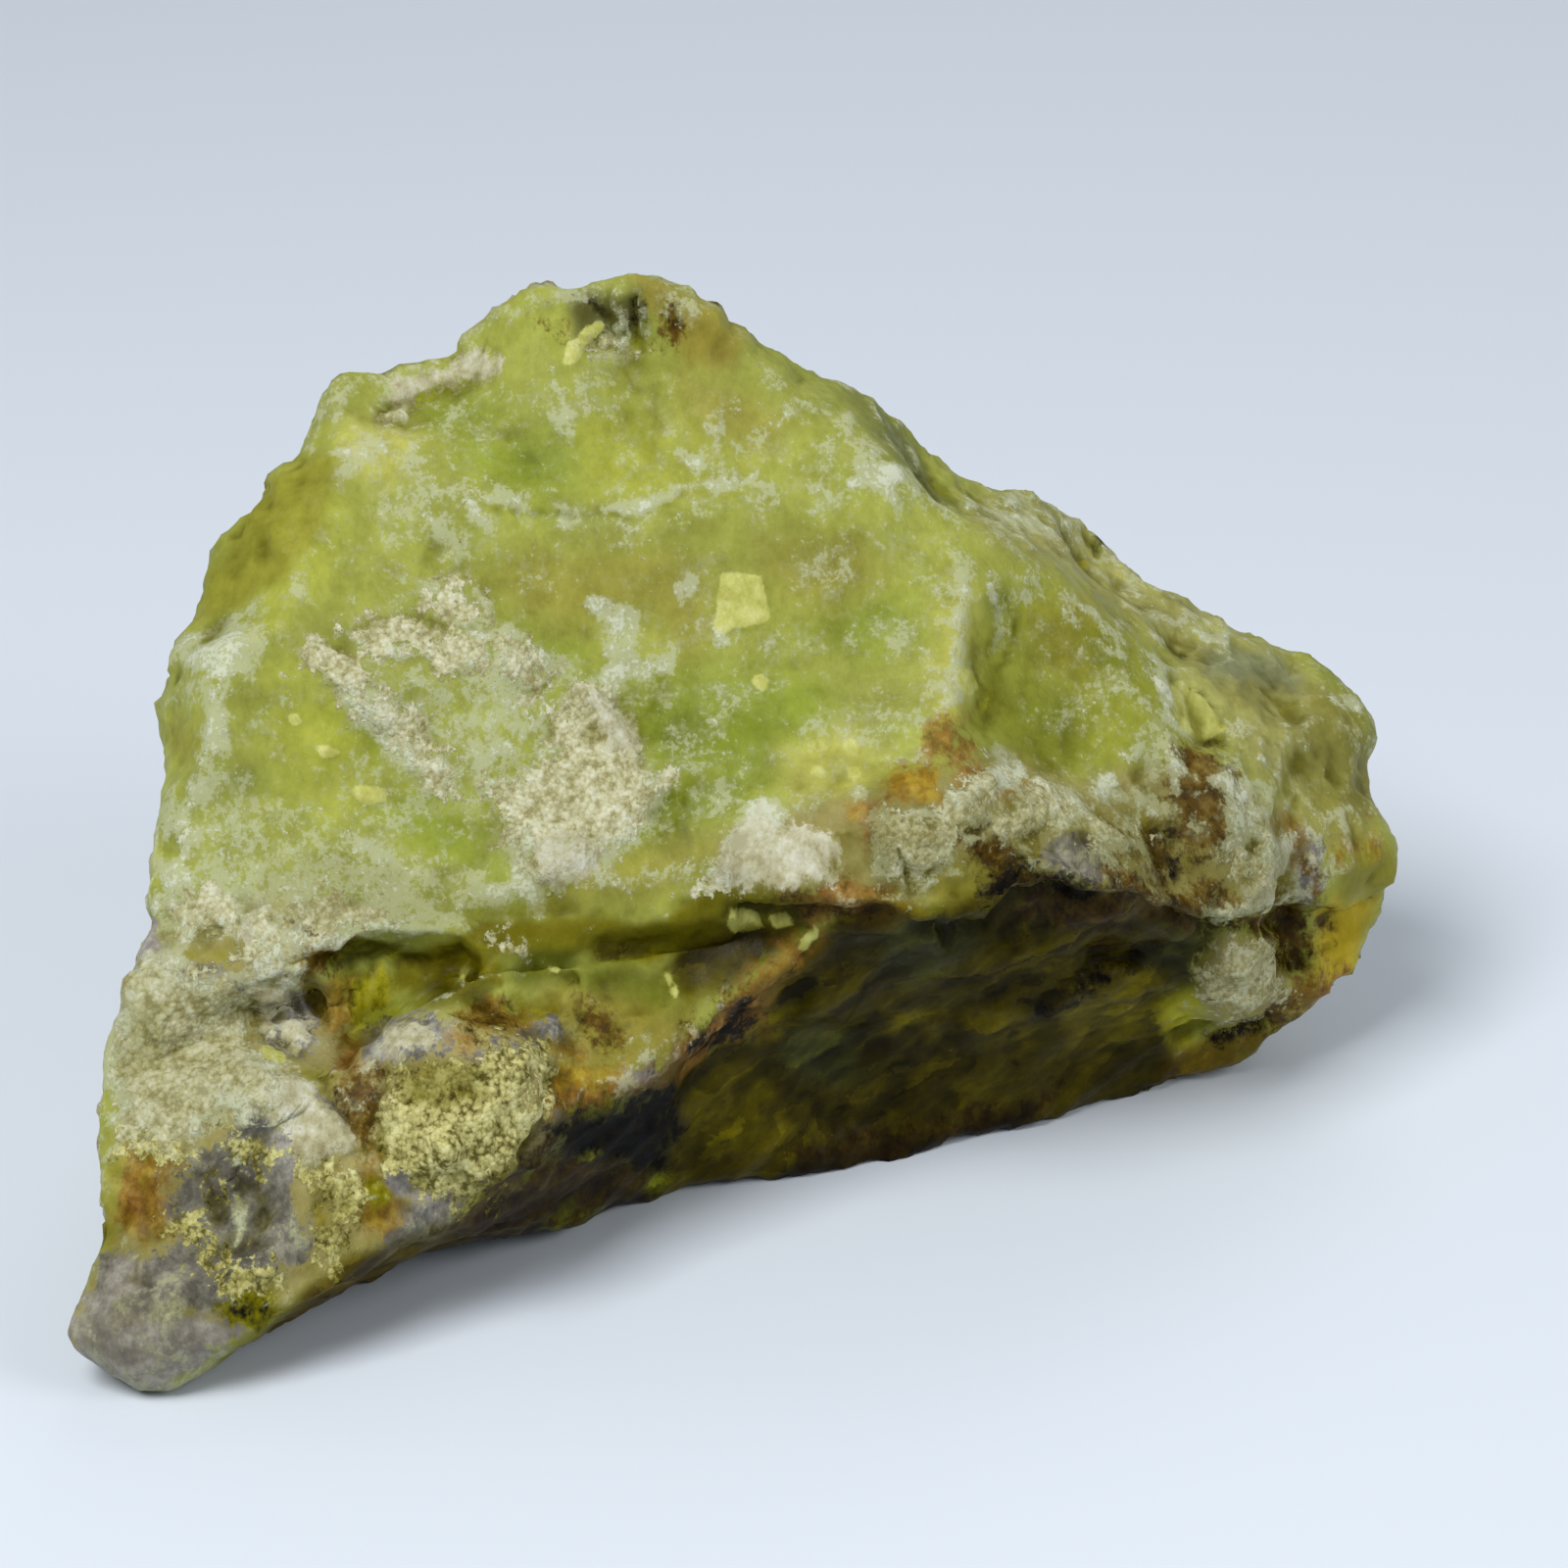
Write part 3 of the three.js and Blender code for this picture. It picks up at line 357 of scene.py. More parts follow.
# The finishes that lie on the opal with an edge of their own, from the glassy quartz up to the
# crusts. Each has three tones, how far chance moves its edge and how soft that edge is, both in
# millimetres, its roughness, and how it is shared out over the back, which the front view doesn't
# show: the size of its patches and how rare they are. Areas and lines are places in the view, and
# a line starts with half its width in millimetres.
FINISHES = [
    dict(name="quartz", tones=[(98, 94, 88), (134, 130, 122), (176, 172, 162)], ragged=0.8,
         soft=0.35, rough=0.3, hidden=(16, 0.6), areas=[
        [(185, 1180), (220, 1175), (240, 1130), (262, 1125), (290, 1150), (302, 1185), (300, 1250),
         (322, 1275), (280, 1300), (220, 1340), (120, 1345), (92, 1335), (105, 1290), (170, 1275),
         (165, 1230), (180, 1200)],
        [(392, 1202), (410, 1196), (432, 1210), (428, 1226), (405, 1222)],
        [(405, 1228), (430, 1230), (470, 1228), (492, 1212), (482, 1242), (420, 1272), (385, 1286),
         (398, 1252)],
        [(1075, 862), (1110, 850), (1135, 855), (1140, 890), (1120, 905), (1085, 900), (1068, 880)],
        [(150, 990), (180, 985), (230, 995), (262, 1010), (250, 1022), (200, 1022), (160, 1015)],
        [(368, 1045), (400, 1038), (440, 1040), (466, 1045), (462, 1068), (430, 1085), (385, 1092),
         (368, 1070)],
        [(255, 1012), (285, 1015), (300, 1010), (318, 1035), (318, 1065), (300, 1075), (278, 1068),
         (262, 1055)],
        [(478, 1072), (512, 1060), (540, 1064), (528, 1086), (492, 1104)],
    ], lines=[
        (1.0, [(550, 1052), (568, 1052)]), (1.3, [(1335, 865), (1330, 905)]),
        (0.8, [(330, 1120), (345, 1140)]),
    ]),
    dict(name="rose", tones=[(130, 124, 118), (154, 147, 141), (186, 181, 175)], ragged=0.7,
         soft=0.6, rough=0.3, hidden=(12, 0.74), areas=[
        [(95, 1320), (130, 1335), (200, 1345), (260, 1352), (240, 1375), (200, 1405), (160, 1425),
         (130, 1440), (100, 1425), (80, 1395), (70, 1355), (84, 1330)],
        [(138, 918), (160, 940), (165, 985), (160, 1010), (140, 1035), (118, 1010), (125, 970)],
    ], lines=[
        (0.8, [(640, 1107), (668, 1097)]), (0.7, [(575, 1145), (550, 1170), (540, 1185)]),
        (0.8, [(435, 1222), (444, 1222)]), (0.8, [(125, 1300), (115, 1325)]),
        (0.5, [(470, 1235), (500, 1210)]),
    ]),
    dict(name="amber", loose=1, cover=0.85, tones=[(112, 78, 8), (148, 110, 16), (184, 156, 50)],
         ragged=0.8, soft=0.9, rough=0.3, hidden=(12, 0.62), areas=[
        [(322, 1000), (350, 992), (352, 1030), (348, 1050), (332, 1045), (316, 1020)],
        [(903, 792), (925, 780), (966, 780), (960, 798), (970, 812), (930, 812), (908, 822)],
        [(548, 1100), (570, 1085), (600, 1090), (640, 1088), (644, 1108), (610, 1120), (570, 1135),
         (552, 1135)],
        [(365, 1190), (385, 1185), (395, 1215), (412, 1240), (400, 1265), (370, 1278), (355, 1250)],
        [(1340, 990), (1386, 988), (1380, 1005), (1345, 1022), (1320, 1034), (1316, 1015)],
        [(122, 1170), (160, 1175), (180, 1185), (170, 1230), (165, 1260), (140, 1275), (116, 1265),
         (120, 1210)],
    ], lines=[
        (0.5, [(868, 838), (880, 828)]), (0.7, [(1370, 868), (1385, 858), (1400, 860)]),
        (0.9, [(1305, 838), (1318, 852)]), (0.8, [(490, 1036), (540, 1045)]),
        (0.5, [(560, 1068), (596, 1078)]), (0.7, [(1140, 855), (1150, 865)]),
        (0.6, [(600, 1118), (625, 1112)]),
    ]),
    dict(name="glass", tones=[(92, 88, 2), (130, 124, 4), (166, 160, 36)], ragged=0.4, soft=0.4,
         rough=0.16, hidden=(10, 0.72), areas=[
        [(352, 1000), (375, 984), (398, 984), (404, 1006), (396, 1025), (376, 1030), (362, 1042),
         (350, 1038)],
        [(372, 1195), (390, 1200), (398, 1225), (380, 1240), (368, 1220)],
        [(220, 1332), (240, 1314), (278, 1314), (284, 1338), (262, 1360), (230, 1358)],
    ], lines=[]),
    dict(name="tobacco", loose=0.8, tones=[(58, 40, 8), (98, 74, 18), (134, 112, 50)], ragged=1.1,
         soft=0.9, rough=0.35, hidden=(12, 0.62), areas=[
        [(1176, 796), (1190, 762), (1240, 760), (1262, 796), (1272, 835), (1258, 874), (1218, 880),
         (1186, 856), (1182, 822)],
        [(1120, 886), (1160, 896), (1205, 904), (1250, 914), (1302, 930), (1290, 950), (1230, 945),
         (1170, 930), (1116, 912)],
        [(984, 852), (1012, 846), (1042, 862), (1058, 874), (1028, 886), (998, 880)],
        [(1300, 925), (1330, 915), (1346, 945), (1340, 985), (1315, 985), (1293, 960)],
        [(800, 905), (860, 905), (888, 930), (840, 935), (800, 925)],
        [(810, 1170), (900, 1160), (1000, 1140), (1080, 1112), (1050, 1150), (960, 1190),
         (860, 1205), (815, 1195)],
        [(1050, 888), (1120, 906), (1180, 916), (1230, 935), (1180, 950), (1100, 942), (1030, 930)],
        [(296, 940), (330, 942), (355, 962), (330, 985), (305, 990), (296, 965)],
        [(346, 1096), (378, 1090), (384, 1130), (376, 1180), (360, 1168), (344, 1130)],
        [(500, 1205), (560, 1175), (620, 1180), (670, 1195), (650, 1230), (560, 1250), (480, 1268),
         (455, 1262)],
    ], lines=[
        (1.3, [(612, 1038), (622, 1052)]), (0.7, [(490, 1040), (525, 1040)]),
        (0.9, [(768, 1022), (738, 1046), (712, 1066), (692, 1084)]),
        (0.5, [(560, 335), (572, 336)]), (0.7, [(682, 330), (688, 346)]),
        (1.0, [(1300, 1040), (1335, 1020)]), (0.7, [(1150, 865), (1180, 880)]),
        (0.8, [(1338, 878), (1342, 914)]),
    ]),
    dict(name="rust", loose=1, cover=0.8, tones=[(94, 58, 20), (142, 96, 36), (176, 136, 68)],
         ragged=0.9, soft=0.9, rough=0.45, hidden=(9, 0.68), areas=[
        [(948, 740), (968, 728), (988, 738), (990, 758), (1006, 788), (984, 798), (972, 770),
         (952, 760)],
        [(882, 835), (902, 815), (916, 830), (906, 868), (888, 878)],
        [(340, 1058), (362, 1065), (362, 1088), (342, 1088)],
    ], lines=[
        (0.9, [(838, 948), (812, 978), (784, 1006), (758, 1030), (735, 1046)]),
        (0.7, [(560, 1138), (600, 1120), (660, 1108), (690, 1086), (712, 1064)]),
        (0.9, [(130, 1208), (135, 1230), (152, 1225)]), (0.6, [(1350, 1000), (1375, 995)]),
        (0.6, [(385, 1180), (375, 1170)]), (0.5, [(480, 1060), (485, 1075)]),
        (0.5, [(115, 1010), (113, 1060)]), (0.5, [(845, 915), (905, 918)]),
        (0.5, [(1028, 812), (1048, 806)]), (0.6, [(1285, 905), (1300, 915)]),
    ]),
    # black: dark veins and beads of the stone, and painted shadow in the undercut's black end,
    # along the lip's rim and under the knob
    dict(name="black_and_shadow", loose=1, tones=[(10, 6, 4), (30, 20, 14), (78, 66, 42)], ragged=0.8, soft=0.7,
         rough=0.5, hidden=(10, 0.76), areas=[
        [(560, 1152), (600, 1142), (660, 1118), (690, 1102), (680, 1130), (706, 1150), (676, 1166),
         (684, 1188), (620, 1180), (580, 1180)],
    ], lines=[
        (0.7, [(757, 1032), (735, 1049), (718, 1064)]),
        (0.6, [(1240, 1056), (1262, 1050), (1282, 1045)]),
        (0.5, [(1054, 1019), (1080, 1003), (1107, 985), (1130, 975), (1159, 972)]),
        (0.6, [(1015, 902), (1030, 890), (1050, 880), (1078, 894), (1110, 906)]),
        (0.45, [(243, 1338), (258, 1332)]), (0.2, [(606, 314), (620, 322)]),
        (0.2, [(645, 312), (648, 336)]), (0.35, [(1109, 541), (1118, 558)]),
        (0.6, [(1175, 855), (1185, 856)]), (0.5, [(1186, 890), (1192, 888)]),
        (0.2, [(195, 1152), (197, 1128), (215, 1108)]), (0.3, [(575, 815), (604, 798)]),
        (0.35, [(985, 850), (1010, 842)]), (0.5, [(455, 1112), (480, 1120)]),
    ]),
    dict(name="lemon", loose=0.1, tones=[(176, 174, 84), (196, 196, 108), (214, 214, 140)],
         ragged=0.1, soft=0.12, rough=0.5, hidden=(5, 0.78), areas=[
        [(737, 583), (778, 587), (787, 634), (752, 642), (733, 648), (728, 640)],
        [(573, 376), (580, 350), (597, 345), (592, 370)],
        [(358, 804), (372, 800), (392, 806), (394, 816), (378, 822), (362, 816)],
        [(321, 763), (334, 760), (346, 768), (338, 775), (326, 773)],
        [(292, 731), (303, 728), (307, 738), (298, 743)],
        [(742, 924), (770, 926), (782, 945), (760, 951), (742, 946)],
        [(785, 932), (805, 930), (812, 943), (792, 946)],
        [(1188, 700), (1203, 694), (1226, 712), (1240, 738), (1252, 746), (1226, 756), (1202, 746)],
    ], lines=[
        (0.5, [(597, 344), (612, 334)]), (0.5, [(774, 694), (778, 697)]),
        (0.5, [(834, 786), (836, 788)]), (0.55, [(866, 761), (870, 765)]),
        (0.5, [(870, 787), (872, 790)]), (0.5, [(834, 760), (837, 762)]),
        (0.35, [(818, 965), (832, 948)]), (0.3, [(562, 988), (568, 990)]),
        (0.3, [(682, 995), (690, 1015)]), (0.25, [(524, 1025), (530, 1032)]),
        (0.7, [(985, 690), (988, 700)]), (0.4, [(270, 1072), (285, 1080)]),
        (0.25, [(472, 998), (478, 985)]),
    ]),
    dict(name="rubble", loose=1, tones=[(106, 98, 44), (203, 196, 126), (236, 231, 170)],
         ragged=1.7, soft=0.3, rough=0.8, hidden=(14, 0.6), areas=[
        [(398, 1112), (430, 1086), (472, 1082), (500, 1092), (512, 1066), (548, 1058), (566, 1082),
         (546, 1106), (560, 1136), (538, 1160), (512, 1206), (474, 1228), (440, 1214), (408, 1204),
         (400, 1170), (382, 1150)],
        [(310, 1190), (340, 1188), (362, 1198), (360, 1240), (352, 1272), (330, 1296), (316, 1292),
         (324, 1252)],
        [(125, 1150), (150, 1160), (185, 1165), (180, 1180), (125, 1178)],
    ], lines=[
        (0.7, [(205, 1210), (228, 1205)]), (0.6, [(180, 1250), (210, 1290), (250, 1280)]),
        (0.7, [(215, 1305), (260, 1300)]), (0.9, [(240, 1165), (252, 1190)]),
    ]),
    dict(name="sand", loose=1, tones=[(158, 151, 102), (198, 194, 150), (226, 225, 194)],
         ragged=1.5, soft=0.3, rough=0.85, hidden=(16, 0.38), areas=[
        [(590, 700), (625, 715), (640, 745), (650, 775), (672, 790), (690, 780), (665, 832),
         (640, 850), (600, 872), (570, 896), (550, 905), (540, 870), (525, 850), (510, 815),
         (498, 795), (540, 780), (558, 750), (570, 720)],
        [(425, 608), (455, 600), (480, 606), (504, 620), (500, 646), (470, 652), (440, 646),
         (422, 630)],
        [(350, 645), (400, 635), (440, 650), (502, 652), (495, 682), (460, 700), (430, 680),
         (400, 680), (370, 672)],
        [(508, 660), (540, 652), (562, 666), (566, 690), (545, 706), (515, 690)],
        [(160, 985), (200, 1004), (236, 1010), (256, 1034), (250, 1050), (256, 1085), (280, 1100),
         (282, 1135), (250, 1130), (225, 1130), (205, 1150), (185, 1160), (125, 1155), (121, 1100),
         (118, 1050), (120, 1010), (130, 990)],
        [(908, 842), (930, 826), (968, 824), (990, 846), (978, 872), (945, 894), (922, 914),
         (904, 888)],
        [(984, 840), (978, 810), (1002, 792), (1026, 788), (1022, 822), (1004, 836)],
        [(1020, 858), (1040, 824), (1062, 804), (1096, 814), (1078, 846), (1050, 860)],
        [(1232, 1000), (1245, 970), (1290, 962), (1315, 985), (1318, 1015), (1285, 1032),
         (1240, 1040), (1230, 1020)],
        [(1262, 868), (1288, 860), (1300, 878), (1284, 900), (1264, 892)],
        [(1292, 895), (1314, 888), (1312, 915), (1296, 922)],
        [(288, 928), (330, 920), (395, 926), (410, 940), (370, 948), (320, 946)],
        [(168, 932), (200, 926), (236, 924), (238, 948), (205, 956), (180, 956)],
        [(238, 942), (262, 930), (276, 958), (288, 985), (280, 1000), (258, 994), (242, 975)],
        [(1112, 836), (1140, 840), (1152, 856), (1130, 862)],
    ], lines=[
        (1.2, [(318, 672), (368, 722), (421, 754), (460, 790)]), (0.4, [(395, 424), (415, 420)]),
        (0.4, [(622, 358), (638, 356)]), (0.5, [(718, 909), (740, 903)]),
        (0.2, [(508, 968), (545, 970)]), (0.5, [(1250, 945), (1275, 962)]),
    ]),
    dict(name="cream", tones=[(160, 152, 112), (190, 186, 150), (216, 214, 192)], ragged=0.7,
         soft=0.4, rough=0.7, hidden=(10, 0.7), areas=[
        [(268, 1106), (300, 1094), (322, 1118), (338, 1135), (345, 1150), (368, 1168), (345, 1186),
         (320, 1190), (300, 1178), (290, 1150), (278, 1130)],
        [(735, 895), (745, 858), (770, 828), (800, 845), (850, 850), (860, 880), (840, 905),
         (790, 910), (750, 908)],
        [(548, 858), (598, 852), (622, 862), (602, 886), (572, 900), (546, 906)],
        [(250, 1010), (272, 1006), (292, 1016), (288, 1035), (275, 1040), (280, 1062), (264, 1058),
         (262, 1032)],
        [(598, 712), (622, 716), (642, 728), (652, 756), (634, 764), (612, 744)],
        [(392, 1048), (430, 1044), (456, 1052), (448, 1072), (410, 1078), (392, 1066)],
        [(284, 1042), (308, 1038), (318, 1060), (300, 1074), (286, 1062)],
    ], lines=[
        (0.9, [(408, 402), (440, 388), (471, 379), (497, 370)]), (0.4, [(245, 955), (250, 938)]),
        (0.6, [(1282, 908), (1300, 885), (1310, 870)]), (0.5, [(590, 890), (560, 900)]),
    ]),
]

# White powder, and how thick it lies, 0 to 1: the least of it, how far an area of it fades, and
# the part of a line's half width that has all of it.
DUST_LEAST = 0.12
DUST_FADE = 1.5
DUST_LINE_FULL = 0.4
# Chance thickens and thins it in lumps: their size, a seed and a strength. Over the back there is
# nothing but this mean and chance.
DUST_CLOUDS = [(5, 12, 0.13), (13, 13, 0.14)]
DUST_BACK = 0.26
DUST_BACK_CLOUDS = (9, 11, 0.5)
# Every sandy crust has a margin of it round its edge, and rims that stand out as high as this
# have more of it.
SAND_MARGIN = 2.8
SAND_MARGIN_DUST = 0.56
RIM_DUST = 0.3
RIM_HEIGHT = (0.03, 0.14)
# Places where the stone is darker than this have none, and these areas have little of it left.
DUST_LIGHT = (0.4, 0.7)
CLEANED = 0.9
CLEAN_EDGE = 0.5
CLEAN_AREAS = [
    [(944, 736), (990, 726), (1022, 784), (990, 802), (956, 786)],  # rust by the fold
    [(900, 785), (930, 776), (966, 780), (966, 810), (935, 820), (905, 816)],  # glass above the lip
    # the left bevel
    [(314, 460), (341, 464), (330, 500), (323, 536), (290, 588), (265, 605), (234, 625), (190, 640),
     (190, 596), (215, 560), (245, 525), (258, 500), (282, 475)],
    # the lip and the recess
    [(455, 962), (500, 947), (560, 939), (620, 937), (680, 929), (735, 907), (790, 906), (850, 912),
     (850, 945), (760, 960), (720, 975), (600, 985), (520, 990), (460, 985)],
    [(320, 985), (400, 975), (440, 1000), (400, 1040), (330, 1050)],  # amber and brown glass
    [(1225, 950), (1330, 920), (1430, 850), (1430, 960), (1330, 1050), (1220, 1060)],  # the knob
    # green glass below the lip
    [(600, 980), (660, 970), (700, 1000), (690, 1045), (640, 1045), (600, 1015)],
    [(182, 968), (244, 966), (250, 994), (190, 992)],  # the groove's end
]
# A thickness, and where it is in the view. A line has half its width in millimetres too.
DUST_AREAS = [
    # the broad face
    (0.35, [(330, 450), (500, 380), (640, 372), (760, 400), (900, 440), (985, 500), (1010, 700),
            (980, 800), (860, 830), (700, 850), (580, 900), (400, 950), (180, 930), (165, 760),
            (200, 640), (290, 520)]),
    (0.6, [(176, 629), (274, 607), (270, 701), (229, 710), (189, 692)]),  # the left bevel's foot
    # the face's lower left
    (0.5, [(140, 860), (200, 780), (290, 800), (420, 870), (540, 900), (500, 930), (420, 945),
            (250, 935), (150, 925)]),
    # its left edge
    (0.6, [(205, 705), (240, 715), (250, 770), (290, 800), (230, 830), (200, 780)]),
    # round the sandy crusts
    (0.5, [(300, 640), (340, 620), (420, 600), (560, 640), (620, 690), (560, 760), (520, 800),
            (450, 790), (370, 740), (300, 690)]),
    # below the shoulder
    (0.5, [(380, 500), (440, 480), (470, 540), (500, 600), (420, 610), (370, 560)]),
    # the right face
    (0.34, [(1000, 560), (1100, 600), (1200, 690), (1330, 760), (1390, 830), (1320, 880),
           (1150, 850), (1050, 790), (1010, 680)]),
    # its crust above the knob
    (0.68, [(1264, 785), (1290, 790), (1324, 860), (1312, 924), (1274, 904), (1268, 830)]),
    (0.45, [(770, 560), (850, 540), (890, 570), (880, 620), (800, 620)]),  # the face's upper right
    # below the crest
    (0.4, [(850, 480), (905, 470), (960, 520), (985, 600), (950, 600), (900, 540)]),
    # above the lip
    (0.45, [(752, 722), (830, 712), (850, 750), (780, 785), (715, 850), (672, 835), (700, 795),
            (755, 760)]),
    (0.6, [(1140, 765), (1210, 755), (1215, 795), (1150, 805)]),  # the right face's foot
    (0.6, [(268, 642), (330, 626), (342, 690), (290, 700)]),  # the bevel's step
    # the crest
    (0.5, [(1060, 560), (1130, 560), (1190, 620), (1260, 650), (1250, 680), (1150, 640)]),
    (0.45, [(1060, 790), (1180, 765), (1205, 850), (1100, 862)]),  # above the lip's right part
    # the crest's start
    (0.5, [(985, 500), (1060, 510), (1110, 545), (1120, 575), (1050, 560), (990, 530)]),
    (0.25, [(180, 1190), (250, 1180), (300, 1250), (300, 1290), (180, 1270)]),  # the tail
]
DUST_LINES = [
    (0.85, 0.7, [(610, 615), (630, 640), (632, 680), (625, 710)]),  # round the sandy crusts
    (0.85, 0.6, [(632, 690), (655, 688), (675, 684)]),
    (0.9, 0.8, [(528, 850), (535, 900), (550, 930)]),  # the broad face's foot
    # the crack across the broad face
    (0.68, 0.4, [(500, 515), (540, 522), (620, 522), (655, 528), (700, 500), (760, 490)]),
    (0.85, 0.45, [(860, 495), (885, 490), (905, 484)]),  # below the crest
    (0.8, 0.5, [(700, 470), (712, 478)]),  # high on the broad face
    # the fold between the faces
    (0.65, 0.25, [(1012, 602), (1024, 620), (1024, 650), (1015, 672)]),
    (1.0, 0.9, [(760, 860), (772, 828), (785, 835)]),  # the crust above the lip
    (1.0, 0.8, [(1020, 775), (1035, 790)]),
    (0.9, 0.9, [(985, 800), (1010, 790)]),
    (1.0, 0.45, [(1133, 795), (1138, 815)]),
    (1.0, 0.4, [(1189, 803), (1191, 815)]),
    (0.9, 0.5, [(1150, 848), (1165, 838)]),
    (0.9, 0.5, [(1230, 798), (1250, 802)]),
    (0.85, 1.3, [(1262, 810), (1268, 840), (1285, 870)]),  # the crust above the knob
    (0.9, 0.35, [(237, 1170), (241, 1230), (240, 1270)]),  # the quartz rib in the tail
    (0.85, 0.8, [(930, 900), (945, 895)]),  # above the lip
    (0.75, 0.8, [(700, 600), (690, 612)]),  # spots on the broad face
    (0.8, 0.5, [(728, 640), (732, 655)]),
    (0.7, 0.5, [(245, 1030), (262, 1010), (285, 1012)]),  # the groove's left end
    (0.95, 0.9, [(345, 712), (380, 742), (404, 762)]),  # a vein through the sandy crust
    (0.95, 0.4, [(630, 836), (652, 850)]),  # a spot by that crust
    (0.5, 0.4, [(1340, 700), (1375, 725)]),  # the right edge
    (0.8, 0.25, [(1176, 702), (1190, 742), (1225, 758)]),  # flakes by the crest
    (0.5, 0.25, [(1060, 600), (1120, 630), (1180, 670)]),  # below the crest, on the right face
]

# Soft swells of the front, and dents below nought: the height and the width of their slopes in
# millimetres, and where they are in the view.
SWELLS = [
    # the left bevel
    (2.9, 4.5, [(262, 505), (300, 560), (285, 620), (250, 665), (190, 700), (120, 680), (120, 600),
                (170, 530)]),
    (1.4, 2.5, [(262, 455), (312, 470), (300, 520), (262, 520), (238, 500)]),  # its upper end
    (1.1, 3.0, [(300, 360), (440, 340), (470, 372), (430, 410), (330, 440)]),  # the shoulder
    # the peak's left side
    (0.8, 2.0, [(450, 340), (500, 290), (570, 270), (585, 310), (515, 350), (470, 380)]),
    # the peak's right side
    (1.1, 2.5, [(690, 265), (765, 305), (800, 350), (750, 372), (705, 335)]),
    (-0.7, 2.5, [(790, 345), (855, 365), (875, 405), (800, 410)]),  # the dip beside it
    # the right edge
    (1.5, 3.0, [(1260, 635), (1330, 650), (1410, 690), (1430, 800), (1370, 790), (1300, 720)]),
    (-1.1, 1.4, [(450, 1095), (488, 1100), (496, 1130), (458, 1134)]),  # a hollow in the rubble
    (-0.9, 1.2, [(520, 1150), (548, 1126), (560, 1160), (534, 1184)]),  # a hollow beside it
    (0.7, 1.2, [(425, 1150), (472, 1152), (480, 1190), (440, 1200)]),  # lumps of rubble
    (0.5, 1.0, [(500, 1075), (545, 1065), (550, 1100), (512, 1108)]),
    (0.9, 0.9, [(322, 990), (350, 990), (352, 1046), (332, 1048)]),  # amber
    # brown glass
    (1.0, 0.9, [(355, 1000), (376, 984), (402, 985), (403, 1022), (376, 1032), (356, 1034)]),
    (1.2, 2.0, [(1350, 895), (1430, 900), (1430, 1000), (1365, 1012), (1338, 960)]),  # the knob
]

# Crevices of the front that are filled by smoothing, how deep in them it starts and is full, and
# how many rounds of it there are.
FILL_ROUNDS = 130
FILLED_EDGE = (0, 2)
FILLED = [
    # the groove above the tail
    [(125, 975), (190, 975), (250, 990), (310, 970), (400, 975), (480, 985), (505, 1005),
     (470, 1035), (400, 1042), (352, 1058), (250, 1070), (140, 1060)],
    [(205, 590), (240, 570), (300, 560), (315, 610), (300, 655), (215, 665)],  # the bevel's step
    [(545, 955), (640, 950), (650, 1000), (545, 1005)],  # the recess
]
# Places that are drawn along a way, in millimetres, with slopes of this width round them, and
# rounds of smoothing after it.
DRAWN_ROUNDS = 12
DRAWN = [
    # the lip's left part
    ((0, 0.5, -1.7), 1.6, [(470, 915), (560, 898), (640, 900), (700, 885), (745, 875), (765, 915),
                           (745, 965), (600, 990), (470, 1000)]),
]

